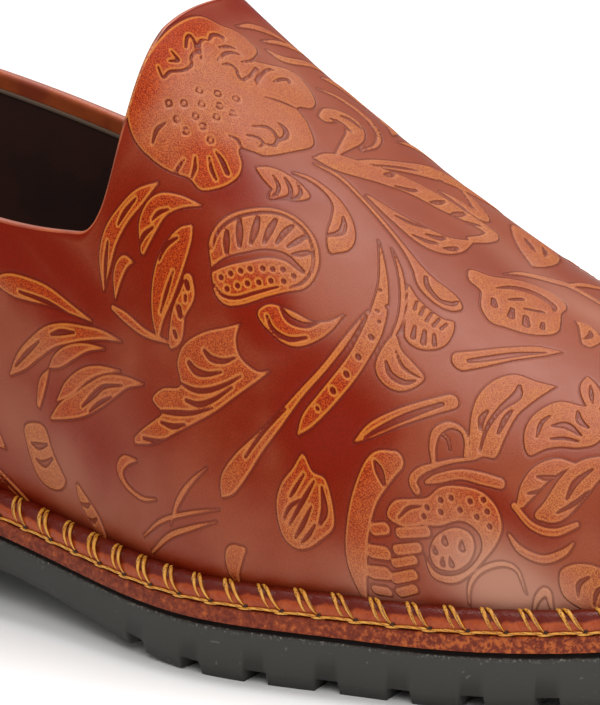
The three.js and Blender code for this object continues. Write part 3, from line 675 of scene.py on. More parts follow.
def pattern_depth(x, g, pattern):
    """Depth inside the raised tooling, over the flat pattern; cuts come after what they cut."""
    depth = np.full(x.shape, -9.0)
    for kind, points in pattern:
        shape = np.asarray(points, float)
        wide = shape[:, 2].max() if shape.shape[1] == 3 else 0.6
        low, high = shape[:, :2].min(0) - wide - REACH, shape[:, :2].max(0) + wide + REACH
        near = np.flatnonzero((x > low[0]) & (x < high[0]) & (g > low[1]) & (g < high[1]))
        if not len(near):
            continue
        if shape.shape[1] == 3:
            part = stroke_depth(x[near], g[near], shape)
        else:
            part = patch_depth(x[near], g[near], shape)
        if kind == RAISE:
            depth[near] = np.maximum(depth[near], part)
        else:
            depth[near] = np.minimum(depth[near], np.where(depth[near] > -9, -part, depth[near]))
    return depth


# Stems that tie the motifs together on the rest of the skin
QUARTER_STEMS = [
    raised((113, 104, .2), (100, 106, .6), (84, 118, .8), (66, 133, .7), (46, 117, .8), (30, 118, .6),
        (14, 111, .7), (-4, 118, .5), (-19, 110, .2)),
    raised((108, 124, .2), (94, 138, .5), (76, 128, .6), (58, 133, .6), (34, 146, .7), (12, 142, .6),
        (-6, 133, .5), (-19, 138, .2)),
    raised((78, 106, .2), (70, 101, .6), (62, 106, .2)),
    raised((30, 118, .2), (26, 111, .6), (29, 104, .2)),
    raised((92, 138, .2), (96, 131, .5), (90, 125, .15)),
    raised((46, 117, .2), (42, 126, .6), (46, 134, .2)),
    raised((-4, 118, .2), (-2, 111, .5), (2, 108, .15)),
    raised((58, 133, .2), (54, 141, .5), (58, 147, .2)),
]
TOE_STEMS = [
    raised((246, 26, .2), (256, 21, .6), (267, 36, .7), (284, 43, .6), (300, 39, .5), (311, 43, .2)),
    raised((252, 42, .2), (256, 54, .5), (270, 52, .5), (284, 52, .2)),
    raised((262, 8, .2), (268, 20, .5), (266, 30, .2)),
]

# The rest of the skin repeats these motifs: motif, place, way, turn, mirrored, size
QUARTER_PLACES = (
    (SLOTTED_LEAF, 100, 94, 35, False, 0.9), (ACANTHUS, 96, 118, 10, True, 0.95),
    (COMMA_LEAF, 112, 114, 0, True, 1), (TONGUE_FLOWER, 66, 118, 82, False, 0.85),
    (FORKED_LEAF, 80, 97, 62, False, 0.9), (VEINED_LEAF, 84, 133, 50, False, 1),
    (BOAT_LEAF, 103, 130, 12, False, 0.9), (CRESCENT_LEAF, 56, 98, 84, False, 0.75),
    (POD, 37, 107, 8, False, 0.9), (STEMS, 50, 141, 78, False, 0.62), (HOOF_LEAF, 22, 101, 0, False, 1),
    (SLOTTED_LEAF, 31, 131, -25, False, 0.95), (BIG_FLOWER, 8, 128, 20, True, 0.8),
    (BOWL_LEAF, 6, 103, 15, False, 1), (COMMA_DROP, 20, 117, 60, False, 0.9),
    (COMMA_LEAF, 68, 143, 15, False, 1), (BOAT_LEAF, 20, 148, 10, False, 0.9),
    (SNAIL, -9, 147, 0, False, 0.8), (FORKED_LEAF, -9, 108, -20, False, 0.8),
    (VEINED_LEAF, -13, 127, 12, False, 0.8), (COMMA_LEAF, -6, 137, 60, True, 0.9),
    (BOWL_LEAF, 88, 107, 0, False, 0.7), (TAILED_DROP, 46, 125, 70, False, 0.7),
    (SPEAR, 118, 121, 60, False, 0.7),
)
TOE_PLACES = (
    (SLOTTED_LEAF, 251, 15, 10, False, 0.85), (HOOF_LEAF, 251, 35, -10, False, 1),
    (VEINED_LEAF, 275, 13.6, -50, False, 0.9), (BOWL_LEAF, 264, 29, 20, False, 1),
    (SNAIL, 261, 48, 10, True, 0.9), (COMMA_LEAF, 277, 44, 40, False, 1.1),
    (FORKED_LEAF, 284, 31, -62, False, 0.8), (SPEAR, 296, 31.4, -38, False, 0.7),
    (BOAT_LEAF, 294, 45, 8, False, 0.8), (COMMA_DROP, 276, 56, 20, False, 0.8),
    (BOWL_LEAF, 309, 46, 12, False, 0.9), (LONG_SPEAR, 263, 11, -60, False, 0.45),
)
RIDGE_PLACES = (
    (SLOTTED_LEAF, 226, -12, 40, True, 0.9), (VEINED_LEAF, 239, -27, 30, False, 0.9),
    (BOWL_LEAF, 214, -21, 10, False, 0.9), (HOOF_LEAF, 200, -20, 160, False, 0.9),
    (BOAT_LEAF, 166, -21, 20, True, 0.9), (COMMA_LEAF, 183, -22, 170, False, 1),
    (FORKED_LEAF, 226, -33, 95, False, 0.7), (COMMA_DROP, 240, -10, 30, False, 0.8),
    (BOAT_LEAF, 154, -16, 10, True, 0.7),
)
INNER_VAMP = [
    TONGUE_FLOWER, POD, BOAT_LEAF, STEMS, HOOF_LEAF, BOWL_LEAF, SLOTTED_LEAF, SPEAR, LONG_SPEAR,
    FORKED_LEAF, SNAIL, CRESCENT_LEAF, VEINED_LEAF, BIG_FLOWER, LILY, ACANTHUS, SCROLLS, COMMA_DROP,
    COMMA_LEAF, TAILED_DROP,
]


def placed(group, x, g, turn, mirror, scale):
    """A motif used again elsewhere, its middle at the given place."""
    middle = np.concatenate([np.asarray(points, float)[:, :2] for _, points in group]).mean(0)
    c, s = math.cos(math.radians(turn)) * scale, math.sin(math.radians(turn)) * scale
    result = []
    for kind, points in group:
        shape = np.asarray(points, float).copy()
        off = shape[:, :2] - middle
        if mirror:
            off[:, 0] = -off[:, 0]
        shape[:, 0] = x + off[:, 0] * c - off[:, 1] * s
        shape[:, 1] = g + off[:, 0] * s + off[:, 1] * c
        if shape.shape[1] == 3:
            shape[:, 2] *= scale
        result.append((kind, shape))
    return result


def on_inner(group, shift, squeeze=1.0):
    """A motif of the outer side on the inner side, where the skin is shorter."""
    result = []
    for kind, points in group:
        shape = np.asarray(points, float).copy()
        shape[:, 1] = -(shape[:, 1] * squeeze + shift(shape[:, 0]))
        result.append((kind, shape))
    return result


def full_pattern():
    quarter = [QUARTER_STEMS] + [placed(*row) for row in QUARTER_PLACES]
    around_toe = [TOE_STEMS] + [placed(*row) for row in TOE_PLACES]
    groups = VISIBLE_PATTERN + quarter + around_toe + [placed(*row) for row in RIDGE_PLACES]
    groups += [on_inner(group, lambda x: x * 0) for group in around_toe]
    groups += [on_inner(group, lambda x: -17 * smooth(x, 10, 112)) for group in quarter]
    groups += [on_inner(group, lambda x: x * 0 + 20, 0.68) for group in INNER_VAMP]
    return [stroke for group in groups for stroke in group]


PATTERN = full_pattern()

# Patches burnt darker by hand: x, way, and how far and how much
BURNISHED = [
    (148, 58, 22, 17, 1.0), (190, 64, 18, 16, 0.95), (120, 78, 24, 9, 1.0), (168, 72, 20, 20, 0.75),
    (172, 54, 12, 9, 0.95), (126, 72, 22, 8, 1.0),
    (136, 24, 4.5, 60, 0.8), (155, 38, 10, 8, 0.7), (226, 57, 12, 5, 0.7), (134, 96, 22, 9, 0.45),
    (60, 92, 60, 8, 0.7), (-14, 124, 14, 40, 0.6), (280, 50, 40, 7, 0.55), (60, 150, 70, 8, 0.6),
    (120, -62, 22, 9, 0.9), (150, -44, 20, 14, 0.7), (60, -88, 60, 8, 0.7), (-14, -124, 14, 40, 0.6),
    (280, -50, 40, 7, 0.55), (60, -148, 70, 8, 0.6), (196, -52, 18, 12, 0.5), (136, -20, 4.5, 50, 0.8),
]

# Patches of painted sheen: pale pinkish colour standing in for soft reflections of the lamps and the floor
PAINTED_SHEEN = [
    (227, 70, 17, 9, 1.0), (206, 86, 14, 9, 0.55), (128, 106, 24, 13, 0.35), (214, 2, 36, 7, 0.5),
    (150, 4, 16, 6, 0.35),
]

TOOLING_HEIGHT = 0.17
TOOLING_GROOVE = 0.08
TOOLING_CROWN = 0.08

# Burnishing along the feather line: how much, how wide and how soft; along the opening: how much, how soft
FOOT_BURNISH = (0.75, 4.2, 2.4)
EDGE_BURNISH = (0.95, 2.3)


def soft_patches(x, g, patches):
    """How much of its strongest patch each place takes."""
    result = np.zeros(x.shape)
    for middle_x, middle_g, reach_x, reach_g, much in patches:
        here = np.exp(-((x - middle_x) / reach_x) ** 2 - ((g - middle_g) / reach_g) ** 2)
        result = np.maximum(result, much * here)
    return result


def tooling(x, g):
    """Height over the skin, in millimetres, and the fields that colour it."""
    shape = x.shape
    depth = pattern_depth(x.ravel(), g.ravel(), PATTERN).reshape(shape)
    raised = smooth(depth, -0.25, 0.35)
    groove = np.exp(-((depth + 0.12) / 0.30) ** 2)
    crown = smooth(depth, 0.0, 2.6)
    height = TOOLING_HEIGHT * raised - TOOLING_GROOVE * groove + TOOLING_CROWN * crown
    # Besides the burnt patches, the fields carry patches of painted sheen, pale colour standing in for soft
    # reflections
    return height, {"depth": np.clip(depth, -3, 3), "burnish": soft_patches(x, g, BURNISHED),
                    "painted_sheen": soft_patches(x, g, PAINTED_SHEEN)}


# The topline and throat edge, seen from the side, as x and height
THROAT = THROAT_AT * LAST_LENGTH
CORNER_FROM = THROAT - THROAT_RADIUS


def topline_height(x, side):
    at = x / LAST_LENGTH
    return board(at) + topline[side](at) * COLLAR_HEIGHT


def walk(points):
    """Distance walked along a run of points, from the first to each."""
    return np.r_[0, np.cumsum(np.linalg.norm(np.diff(points, axis=0), axis=-1))]


def bend_between(start, middle, end, steps):
    t = np.linspace(0, 1, steps)[:, None]
    start, middle, end = (np.array(point, float) for point in (start, middle, end))
    return start * (1 - t) ** 2 + middle * 2 * t * (1 - t) + end * t ** 2


def rib_at(angle, side, steps):
    """One rib of the upper from foot to ridge, at even shares of its length."""
    shares = np.linspace(0, 1, steps)
    turn = np.full(steps, angle)
    return shares, upper_point(turn, climb_at(turn, shares, side), side)


def opening_edge(side, start):
    """The edge from a place on the topline, round the corner and up to the ridge."""
    low = float(topline_height(CORNER_FROM, side))
    along = np.linspace(start, CORNER_FROM, 20)
    line = np.stack([along, topline_height(along, side)], -1)
    corner = bend_between((CORNER_FROM, low), (THROAT, low), (THROAT, low + 2 * THROAT_RADIUS), 14)
    tip = float(crest(THROAT_AT)) * INSTEP_HEIGHT + float(board(THROAT_AT))
    reach = (THROAT - TONGUE_LEAN, tip)
    throat = bend_between((THROAT, low + 2 * THROAT_RADIUS), (THROAT, INSTEP_HEIGHT), reach, 60)
    return np.concatenate([line, corner[1:], throat[1:]])


def find_on_upper(x, z, side):
    """Angle and share of the point of the upper that is seen at x and z."""
    at = x / LAST_LENGTH
    for _ in range(40):
        angle = float(angle_of(at))
        shares, rib = rib_at(angle, side, 900)
        share = float(np.interp(z, rib[:, 2], shares))
        found = float(np.interp(share, shares, rib[:, 0]))
        at += (x - found) / LAST_LENGTH
    return angle, share


fan_edge = {}
for side in (OUTER, INNER):
    _, rib = rib_at(float(angle_of(FAN_FROM / LAST_LENGTH)), side, 900)
    over = rib[:, 2] - topline_height(rib[:, 0], side)
    crossing = float(np.interp(0, over, rib[:, 0]))
    line = opening_edge(side, crossing)
    found = np.array([find_on_upper(x, z, side) for x, z in line])
    found[-1, 1] = 1.0
    fan_edge[side] = found
ridge_angle = (fan_edge[OUTER][-1, 0] + fan_edge[INNER][-1, 0]) / 2
for side in (OUTER, INNER):
    fan_edge[side][-1, 0] = ridge_angle


def topline_share(angle, side):
    """How far up its rib the topline is, behind the fan."""
    result = []
    for turn in np.atleast_1d(angle):
        shares, rib = rib_at(turn, side, 700)
        over = rib[:, 2] - topline_height(np.maximum(rib[:, 0], 0), side)
        first = int(np.argmax(over > 0))
        part = over[first - 1] / (over[first - 1] - over[first])
        result.append(shares[first - 1] + part * (shares[first] - shares[first - 1]))
    return np.array(result)


# Columns: each has an angle at its foot, and an angle and share at its top
def quarter_columns(side, spacing):
    """Columns from the heel to the fan, evenly spaced along the foot."""
    angles = np.linspace(0, float(angle_of(FAN_FROM / LAST_LENGTH)), 1500)
    walked = walk(upper_point(angles, angles * 0, side))
    count = max(int(math.ceil(walked[-1] / spacing)), 2)
    foot = np.interp(np.linspace(0, walked[-1], count + 1), walked, angles)
    return foot, foot, topline_share(foot, side)


def fan_columns(side, spacing):
    """Columns that fan out round the throat, evenly spaced along its edge."""
    found = fan_edge[side]
    walked = walk(upper_point(found[:, 0], climb_at(found[:, 0], found[:, 1], side), side))
    t = np.linspace(0, 1, int(math.ceil(walked[-1] / spacing)) + 1)
    ends = angle_of(np.array([FAN_FROM, FAN_TO]) / LAST_LENGTH)
    foot = ends[0] + (ends[1] - ends[0]) * t
    top, share = (np.interp(t, walked / walked[-1], found[:, k]) for k in (0, 1))
    return foot, top, share


def vamp_columns(start, end, count):
    """Columns from the fan to the toe, by their share of that way."""
    t = np.linspace(start, end, count + 1)
    foot_from = float(angle_of(FAN_TO / LAST_LENGTH))
    foot = foot_from + (math.pi - foot_from) * t
    return foot, ridge_angle + (math.pi - ridge_angle) * t, np.ones_like(t)


def gathered(parts):
    """Angle, share and side of every point of families of columns side by side; rows run from the foot
    (0) to the top (1)."""
    grids = []
    for columns, rows, side in parts:
        foot, top, share = (np.asarray(part)[:, None] for part in columns)
        rows = np.asarray(rows)[None, :]
        angle = foot + (top - foot) * rows
        grids.append((angle, share * rows, np.full(angle.shape, side)))
    return [np.concatenate(part, 1) for part in zip(*grids)]


def place(points):
    """From millimetres along the last to the frame."""
    return (np.asarray(points) - (LAST_LENGTH / 2, MIDDLE_Y, 0)) * MM


def shaped_grid(name, points, flip=False, fields=None, normals=None):
    """A grid whose corners are moved to the given columns and rows of points, in millimetres."""
    columns, rows = points.shape[:2]
    bm = bmesh.new()
    bmesh.ops.create_grid(bm, x_segments=columns - 1, y_segments=rows - 1, size=1)
    mesh = bpy.data.meshes.new(name)
    bm.to_mesh(mesh)
    bm.free()
    flat = np.zeros(columns * rows * 3)
    mesh.vertices.foreach_get("co", flat)
    flat = flat.reshape(-1, 3)
    i = np.rint((flat[:, 0] + 1) / 2 * (columns - 1)).astype(int)
    j = np.rint((flat[:, 1] + 1) / 2 * (rows - 1)).astype(int)
    mesh.vertices.foreach_set("co", place(points[i, j]).ravel())
    for label, values in (fields or {}).items():
        layer = mesh.attributes.new(label, "FLOAT", "POINT")
        layer.data.foreach_set("value", np.asarray(values, float)[i, j].ravel())
    mesh.polygons.foreach_set("use_smooth", np.ones(len(mesh.polygons), bool))
    if flip:
        mesh.flip_normals()
    if normals is not None:
        mesh.update()
        mesh.normals_split_custom_set_from_vertices(normals[i, j].tolist())
    mesh.update()
    piece = bpy.data.objects.new(name, mesh)
    bpy.context.scene.collection.objects.link(piece)
    return piece


def merged(piece, distance=0.00001, unwanted=None, fill=False):
    """Closes seams and poles, and open ends where asked, and turns faces outward."""
    bm = bmesh.new()
    bm.from_mesh(piece.data)
    if unwanted:
        spare = [face for k, face in enumerate(bm.faces) if unwanted(k)]
        bmesh.ops.delete(bm, geom=spare, context="FACES")
    bmesh.ops.remove_doubles(bm, verts=bm.verts, dist=distance)
    open_edges = [edge for edge in bm.edges if edge.is_boundary] if fill else []
    if open_edges:
        bmesh.ops.holes_fill(bm, edges=open_edges, sides=0)
    bmesh.ops.recalc_face_normals(bm, faces=bm.faces)
    bm.to_mesh(piece.data)
    bm.free()
    piece.data.update()
    return piece


def stands_for(piece, node):
    """Says what a piece rides on and which body it replaces."""
    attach(piece, "root")
    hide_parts(node)
    return piece


def unit(vectors):
    return vectors / np.maximum(np.linalg.norm(vectors, axis=-1, keepdims=True), 1e-12)


def cross_normals(points):
    return unit(np.cross(np.gradient(points, axis=0), np.gradient(points, axis=1)))


def base_normals(angle, share, side):
    """Outward normal of the last's form."""
    nudge = 0.002
    climb = climb_at(angle, share, side)
    ahead = upper_point(np.minimum(angle + nudge, math.pi), climb, side)
    behind = upper_point(np.maximum(angle - nudge, 0), climb, side)
    high = upper_point(angle, np.minimum(climb + nudge, 1), side)
    low = upper_point(angle, np.maximum(climb - nudge, 0), side)
    return unit(np.cross(ahead - behind, high - low) * np.asarray(-side)[..., None])


def let_out(side):
    """What the curves of the heel and the toe take up along the foot, by angle."""
    angles = np.linspace(0, math.pi, 2400)
    foot = upper_point(angles, angles * 0, side)
    walked = walk(foot)
    at_heel, at_toe = (np.interp(x, foot[:, 0], walked) for x in (FAN_FROM, TOE_FROM))
    heel = np.where(walked < at_heel, (walked - at_heel) - (foot[:, 0] - FAN_FROM), 0)
    toe = np.where(walked > at_toe, (walked - at_toe) - (foot[:, 0] - TOE_FROM), 0)
    return angles, heel, toe


def flat_place(angle, share, side, x):
    """Place along the flat pattern, which is let out round the heel and the toe."""
    result = np.array(x, float)
    for one in (OUTER, INNER):
        angles, heel, toe = let_out(one)
        more = np.interp(angle, angles, heel) + (1 - share) * np.interp(angle, angles, toe)
        result = np.where(side == one, x + more, result)
    return result


# Upper
def skin(name, parts, whole=False):
    """One piece of the upper's tooled skin, from families of columns side by side; a whole one has no
    edge at the opening."""
    angle, share, sides = gathered(parts)
    base = upper_point(angle, climb_at(angle, share, sides), sides)
    outward = base_normals(angle, share, sides)
    way = girth_at(angle, share, sides)
    height, fields = tooling(flat_place(angle, share, sides, base[..., 0]), way)
    from_foot = share * np.abs(way) / np.maximum(1 - share, 1e-6)
    from_foot = np.where(share > 0.9, 99, from_foot)
    much, wide, soft = FOOT_BURNISH
    burnt = much * np.exp(-np.maximum(from_foot - wide, 0) / soft)
    if not whole:
        much, soft = EDGE_BURNISH
        burnt = np.maximum(burnt, much * np.exp(-((np.abs(way) - np.abs(way[:, -1:])) / soft) ** 2))
    fields["burnish"] = np.maximum(fields["burnish"], burnt)
    points = base + outward * height[..., None]
    normals = cross_normals(points)
    facing = np.sum(normals * outward, -1, keepdims=True)
    turned = float(np.median(facing)) < 0
    normals = np.where(facing < 0, -normals, normals)
    normals = np.where(np.abs(facing) < 0.3, outward, normals)
    piece = shaped_grid(name, points, flip=turned, fields=fields, normals=normals)
    return stands_for(piece, "upper")


def rows_of(length, spacing):
    return np.linspace(0, 1, int(math.ceil(length / spacing)) + 1)


# Spacings of the skin's points, fine on the side that the photo shows
FINE, MEDIUM, COARSE = 0.3, 0.7, 0.8
QUARTER_HEIGHT, VAMP_GIRTH = 75, 85
outer_rows, inner_rows = rows_of(VAMP_GIRTH, FINE), rows_of(VAMP_GIRTH, MEDIUM)
skins = []
for name, side, spacing in (("quarter_outer", OUTER, MEDIUM), ("quarter_inner", INNER, COARSE)):
    skins.append(skin(name, [(quarter_columns(side, COARSE), rows_of(QUARTER_HEIGHT, spacing), side)]))
skins.append(skin("throat_outer", [(fan_columns(OUTER, FINE), outer_rows, OUTER)]))
skins.append(skin("throat_inner", [(fan_columns(INNER, COARSE), inner_rows, INNER)]))
for name, start, end, count in (("vamp", 0, 0.42, 185), ("toe", 0.42, 1, 232)):
    columns = vamp_columns(start, end, count)
    across = [(columns, outer_rows, OUTER), (columns, inner_rows[:-1][::-1], INNER)]
    skins.append(skin(name, across, whole=True))


def opening_loop():
    """Points, outward normals, ways up, places, ways and sides of the opening's edge, round the heel."""
    families = []
    for side in (OUTER, INNER):
        quarter, fan = quarter_columns(side, 1.0), fan_columns(side, 0.6)
        turn = np.r_[quarter[0], fan[1][1:]]
        share = np.r_[quarter[2], fan[2][1:]]
        order = slice(None, None, -1) if side == OUTER else slice(1, None)
        families.append((turn[order], share[order], np.full(len(turn[order]), side)))
    turns, shares, sides = (np.concatenate(part) for part in zip(*families))
    points = upper_point(turns, climb_at(turns, shares, sides), sides)
    outward = base_normals(turns, shares, sides)
    outward[0] = outward[-1] = outward[0] + outward[-1]
    along = np.roll(points[:-1], -1, 0) - np.roll(points[:-1], 1, 0)
    along = np.concatenate([along, along[:1]])
    up = unit(np.cross(outward, along))
    up *= np.sign(up[len(up) // 2, 2])
    return points, unit(outward), up, points[:, 0], girth_at(turns, shares, sides), sides


# Edge of the opening
EDGE_ROLL = 0.7
EDGE_TURN_IN = 2.7
LINING_EDGE = 0.75


def edge_rows(name, rows):
    """A strip along the whole opening: rows of (out, up) from its edge, with a field that marks the painted
    highlight along the top of the roll and the lining's cut edge.
    """
    points, outward, up, x, g, sides = opening_loop()
    grid = np.stack([points + outward * out + up * high for out, high, _ in rows], 1)
    walked = np.cumsum([0.0] + [math.hypot(b[0] - a[0], b[1] - a[1]) for a, b in zip(rows[:-1], rows[1:])])
    across = np.abs(g)[:, None] - walked[None, :]
    way = np.where(sides < 0, 1.0, -1.0)[:, None] * np.maximum(across, 0)
    _, fields = tooling(x[:, None] + 0 * way, way)
    fields["rim_highlight_and_cut_edge"] = np.ones(len(points))[:, None] * np.array([rim_highlight_and_cut_edge for _, _, rim_highlight_and_cut_edge in rows])[None, :]
    return stands_for(merged(shaped_grid(name, grid, fields=fields)), "upper")


def collar_edge():
    """The skin turned in over the opening's edge and glued down inside."""
    rows = []
    for turn in np.linspace(0, math.pi, 17):
        # Painted highlight along the top of the roll, strongest just past its crown
        rim_highlight_and_cut_edge = math.exp(-((turn - 1.35) / 0.55) ** 2)
        rows.append((WALL / 2 * (math.cos(turn) - 1), EDGE_ROLL * math.sin(turn), rim_highlight_and_cut_edge))
    for step in np.linspace(0.2, EDGE_TURN_IN, 12):
        rows.append((-WALL - 0.06, -step, 0.0))
    rows.append((-WALL + 0.5, -EDGE_TURN_IN - 0.1, 0.0))
    return edge_rows("collar_edge", rows)


def lining_top():
    """The cut edge of the lining, which shows under the turned-in skin."""
    rows = [(-WALL + 0.4, -EDGE_TURN_IN + 0.1, 1.0), (-WALL - 0.12, -EDGE_TURN_IN, 1.0)]
    for step in np.linspace(0, 1, 6):
        rows.append((-WALL - 0.22 - 0.1 * math.sin(math.pi * step),
                     -EDGE_TURN_IN - 0.1 - LINING_EDGE * step, 1.0))
    rows.append((-WALL + 0.4, -EDGE_TURN_IN - LINING_EDGE - 0.3, 0.0))
    return edge_rows("lining_rim", rows)


def lining():
    """The dark leather inside the upper, in one mesh that faces the foot."""
    spacing = 2.5
    low = rows_of(QUARTER_HEIGHT, spacing)
    families = [[(quarter_columns(side, spacing), low, side)] for side in (OUTER, INNER)]
    families += [[(fan_columns(side, 2.0), low, side)] for side in (OUTER, INNER)]
    columns, rows = vamp_columns(0, 1, 70), rows_of(VAMP_GIRTH, spacing)
    families.append([(columns, rows, OUTER), (columns, rows[:-1][::-1], INNER)])
    parts = []
    for family in families:
        angle, share, sides = gathered(family)
        base = upper_point(angle, climb_at(angle, share, sides), sides)
        inside = base - base_normals(angle, share, sides) * (WALL - 0.1)
        parts.append(shaped_grid("lining", inside))
    bpy.ops.object.select_all(action="DESELECT")
    for part in parts:
        part.select_set(True)
    bpy.context.view_layer.objects.active = parts[0]
    bpy.ops.object.join()
    piece = merged(parts[0], 0.00005)
    middle = Vector(place((LAST_LENGTH / 2, 0, 50)))
    inward = 0
    for face in list(piece.data.polygons)[::50]:
        inward += 1 if face.normal.dot(middle - face.center) > 0 else -1
    if inward < 0:
        piece.data.flip_normals()
    piece.data.polygons.foreach_set("use_smooth", np.ones(len(piece.data.polygons), bool))
    return stands_for(piece, "upper")


edge_leather = collar_edge()
lining_rim = lining_top()
lining_leather = lining()


# Bottom
def side_turns(spacing, side=OUTER, reach=WELT_REACH):
    """Angles from heel to toe, evenly spaced along one side of the outline."""
    dense = np.linspace(0, math.pi, 3000)
    x, y, _, _ = edge_point(dense, side, reach)
    walked = np.r_[0, np.cumsum(np.hypot(np.diff(x), np.diff(y)))]
    count = int(math.ceil(walked[-1] / spacing))
    return np.interp(np.linspace(0, walked[-1], count + 1), walked, dense)


def around(spacing, reach):
    """Angles and sides all the way round the outline, from the heel along the outer side and back."""
    outer, inner = side_turns(spacing, OUTER, reach), side_turns(spacing, INNER, reach)[::-1][1:]
    return np.r_[outer, inner], np.r_[np.full(len(outer), OUTER), np.full(len(inner), INNER)]


def flank_point(angle, side, height, clearance):
    """Plan position of the upper's flank at a height over the feather line."""
    climbs = np.linspace(0, 0.6, 240)
    result = np.zeros(angle.shape + (2,))
    for k, (turn, s) in enumerate(zip(angle, side)):
        rib = upper_point(np.full(240, turn), climbs, int(s), clearance)
        over = rib[:, 2] - board(rib[:, 0] / LAST_LENGTH) - GAP
        result[k] = np.interp(height, over, rib[:, 0]), np.interp(height, over, rib[:, 1])
    return result


# Section of the bead, as shares of its width outward from the upper and of WELT_HEIGHT upward
BEAD = np.array([
    (0.03, 0.0), (0.50, 0.0), (0.94, 0.02), (1.00, 0.35), (0.92, 0.68),
    (0.68, 0.93), (0.36, 1.00), (0.06, 0.86), (0.0, 0.40),
])
BEAD_CREASE, BEAD_FOOT = (0.06, 0.86), (0.97, 0.10)
BEAD_MIDDLE = (0.5, 0.42)


# Stitches: their pitch, the place of the first hole round the bead, and how far back the top of each lies
BEAD_STEP = 0.45
BEAD_WIDTH = 6.6
STITCH_PITCH = 6.97
STITCH_PHASE = 223.0
STITCH_LEAN = 5.1
# How much a stitch draws the bead in, as a share of its section, and over what length
STITCH_PULL, PULL_WIDTH = 0.10, 1.3
# Strands of a stitch: where top and foot lie past the hole, sag, and way down the section
STRANDS = ((-5.6, -2.0, -0.15, 0.74), (-4.7, 0.1, -0.10, 0.76))
# Half widths of a strand at its ends and more in its middle, of the running thread and of a hole
STRAND_END, STRAND_SWELL, RUNNING_WIDTH, HOLE_WIDTH = 0.08, 0.30, 0.25, 0.36
# How far each length of running thread begins under the last
RUNNING_LAP = 0.9
PLY_PITCH = 1.5

bead_turns, bead_sides = around(BEAD_STEP, WELT_REACH - GAP)
bead_edge = edge_point(bead_turns, bead_sides, WELT_REACH - GAP)
bead_way = np.r_[0, np.cumsum(np.hypot(np.diff(bead_edge[0]), np.diff(bead_edge[1])))]
bead_normal = np.stack([bead_edge[2], bead_edge[3]], -1)
bead_normal[0] = bead_normal[-1] = (-1, 0)
bead_flank = flank_point(bead_turns, bead_sides, 0.4 * WELT_HEIGHT, 0.1)
bead_width = np.sum((np.stack(bead_edge[:2], -1) - bead_flank) * bead_normal, -1)
stitch_count = round(bead_way[-1] / STITCH_PITCH)
stitch_pitch = bead_way[-1] / stitch_count
holes = (STITCH_PHASE + stitch_pitch * np.arange(stitch_count)) % bead_way[-1]
section_run = np.concatenate([curve_between(*np.roll(BEAD, 1 - k, 0)[:4], 3) for k in range(len(BEAD))])
section_crease, section_foot = (
    int(np.argmin(np.hypot(*(section_run - near).T))) for near in (BEAD_CREASE, BEAD_FOOT))


def over_bead(q):
    """The bead's section from the crease (0) over its crown to its outer foot (1), and its normal."""
    run = section_run[section_foot:section_crease + 1][::-1]
    run = np.concatenate([[(0.0, 0.72)], run])
    scaled = run * (BEAD_WIDTH, WELT_HEIGHT)
    walked = np.r_[0, np.cumsum(np.hypot(*np.diff(scaled, axis=0).T))]
    at = np.asarray(q) * walked[-1]
    point = np.stack([np.interp(at, walked, run[:, 0]), np.interp(at, walked, run[:, 1])], -1)
    ahead, behind = at + 0.1, at - 0.1
    dx = np.interp(ahead, walked, scaled[:, 0]) - np.interp(behind, walked, scaled[:, 0])
    dz = np.interp(ahead, walked, scaled[:, 1]) - np.interp(behind, walked, scaled[:, 1])
    length = np.hypot(dx, dz)
    return point, np.stack([-dz, dx], -1) / length[..., None]


def on_bead(way, q, lift=0.0):
    """A point over the bead's surface, by its way round the shoe and its place over the section."""
    way = np.asarray(way) % bead_way[-1]
    flank = np.stack([np.interp(way, bead_way, bead_flank[:, k]) for k in (0, 1)], -1)
    normal = np.stack([np.interp(way, bead_way, bead_normal[:, k]) for k in (0, 1)], -1)
    normal /= np.linalg.norm(normal, axis=-1, keepdims=True)
    width = np.interp(way, bead_way, bead_width)
    point, out = over_bead(q)
    reach = point[..., 0] * width + out[..., 0] * lift
    flat = flank + normal * reach[..., None]
    height = board(flat[..., 0] / LAST_LENGTH) + GAP / 3 + point[..., 1] * WELT_HEIGHT + out[..., 1] * lift
    return np.concatenate([flat, height[..., None]], -1)


def welt_bead():
    """A cord-filled strip that the thread draws in at each stitch."""
    section = np.concatenate([section_run, section_run[:1]])
    grid = np.zeros((len(bead_turns), len(section), 3))
    crease = np.zeros(grid.shape[:2])
    for j, (out, up) in enumerate(section):
        q = float(np.clip(out, 0, 1)) if up > 0.5 else 1.0
        line = holes - STITCH_LEAN * (1 - q) - 0.7 * q
        away = (bead_way[:, None] - line[None, :] + bead_way[-1] / 2) % bead_way[-1] - bead_way[-1] / 2
        away = np.abs(away).min(1)
        pull = STITCH_PULL * np.exp(-(away / PULL_WIDTH) ** 2) * (1 if up > 0.1 else 0)
        px = out + (BEAD_MIDDLE[0] - out) * pull
        pz = up + (BEAD_MIDDLE[1] - up) * pull * 1.3
        flat_x = bead_flank[:, 0] + bead_normal[:, 0] * px * bead_width
        flat_y = bead_flank[:, 1] + bead_normal[:, 1] * px * bead_width
        height = board(flat_x / LAST_LENGTH) + GAP / 3 + pz * WELT_HEIGHT
        grid[:, j] = np.stack([flat_x, flat_y, height], -1)
        # Painted shade: darker over the bead's upper half, under the upper's overhang, and in the dip where
        # each stitch draws it in
        shaded = float(smooth(np.array(up), 0.42, 0.86))
        crease[:, j] = shaded + 0.30 * np.exp(-(away / 0.8) ** 2)
    piece = merged(shaped_grid("welt_bead_roll", grid, fields={"crease": crease}))
    return stands_for(piece, "welt_bead")


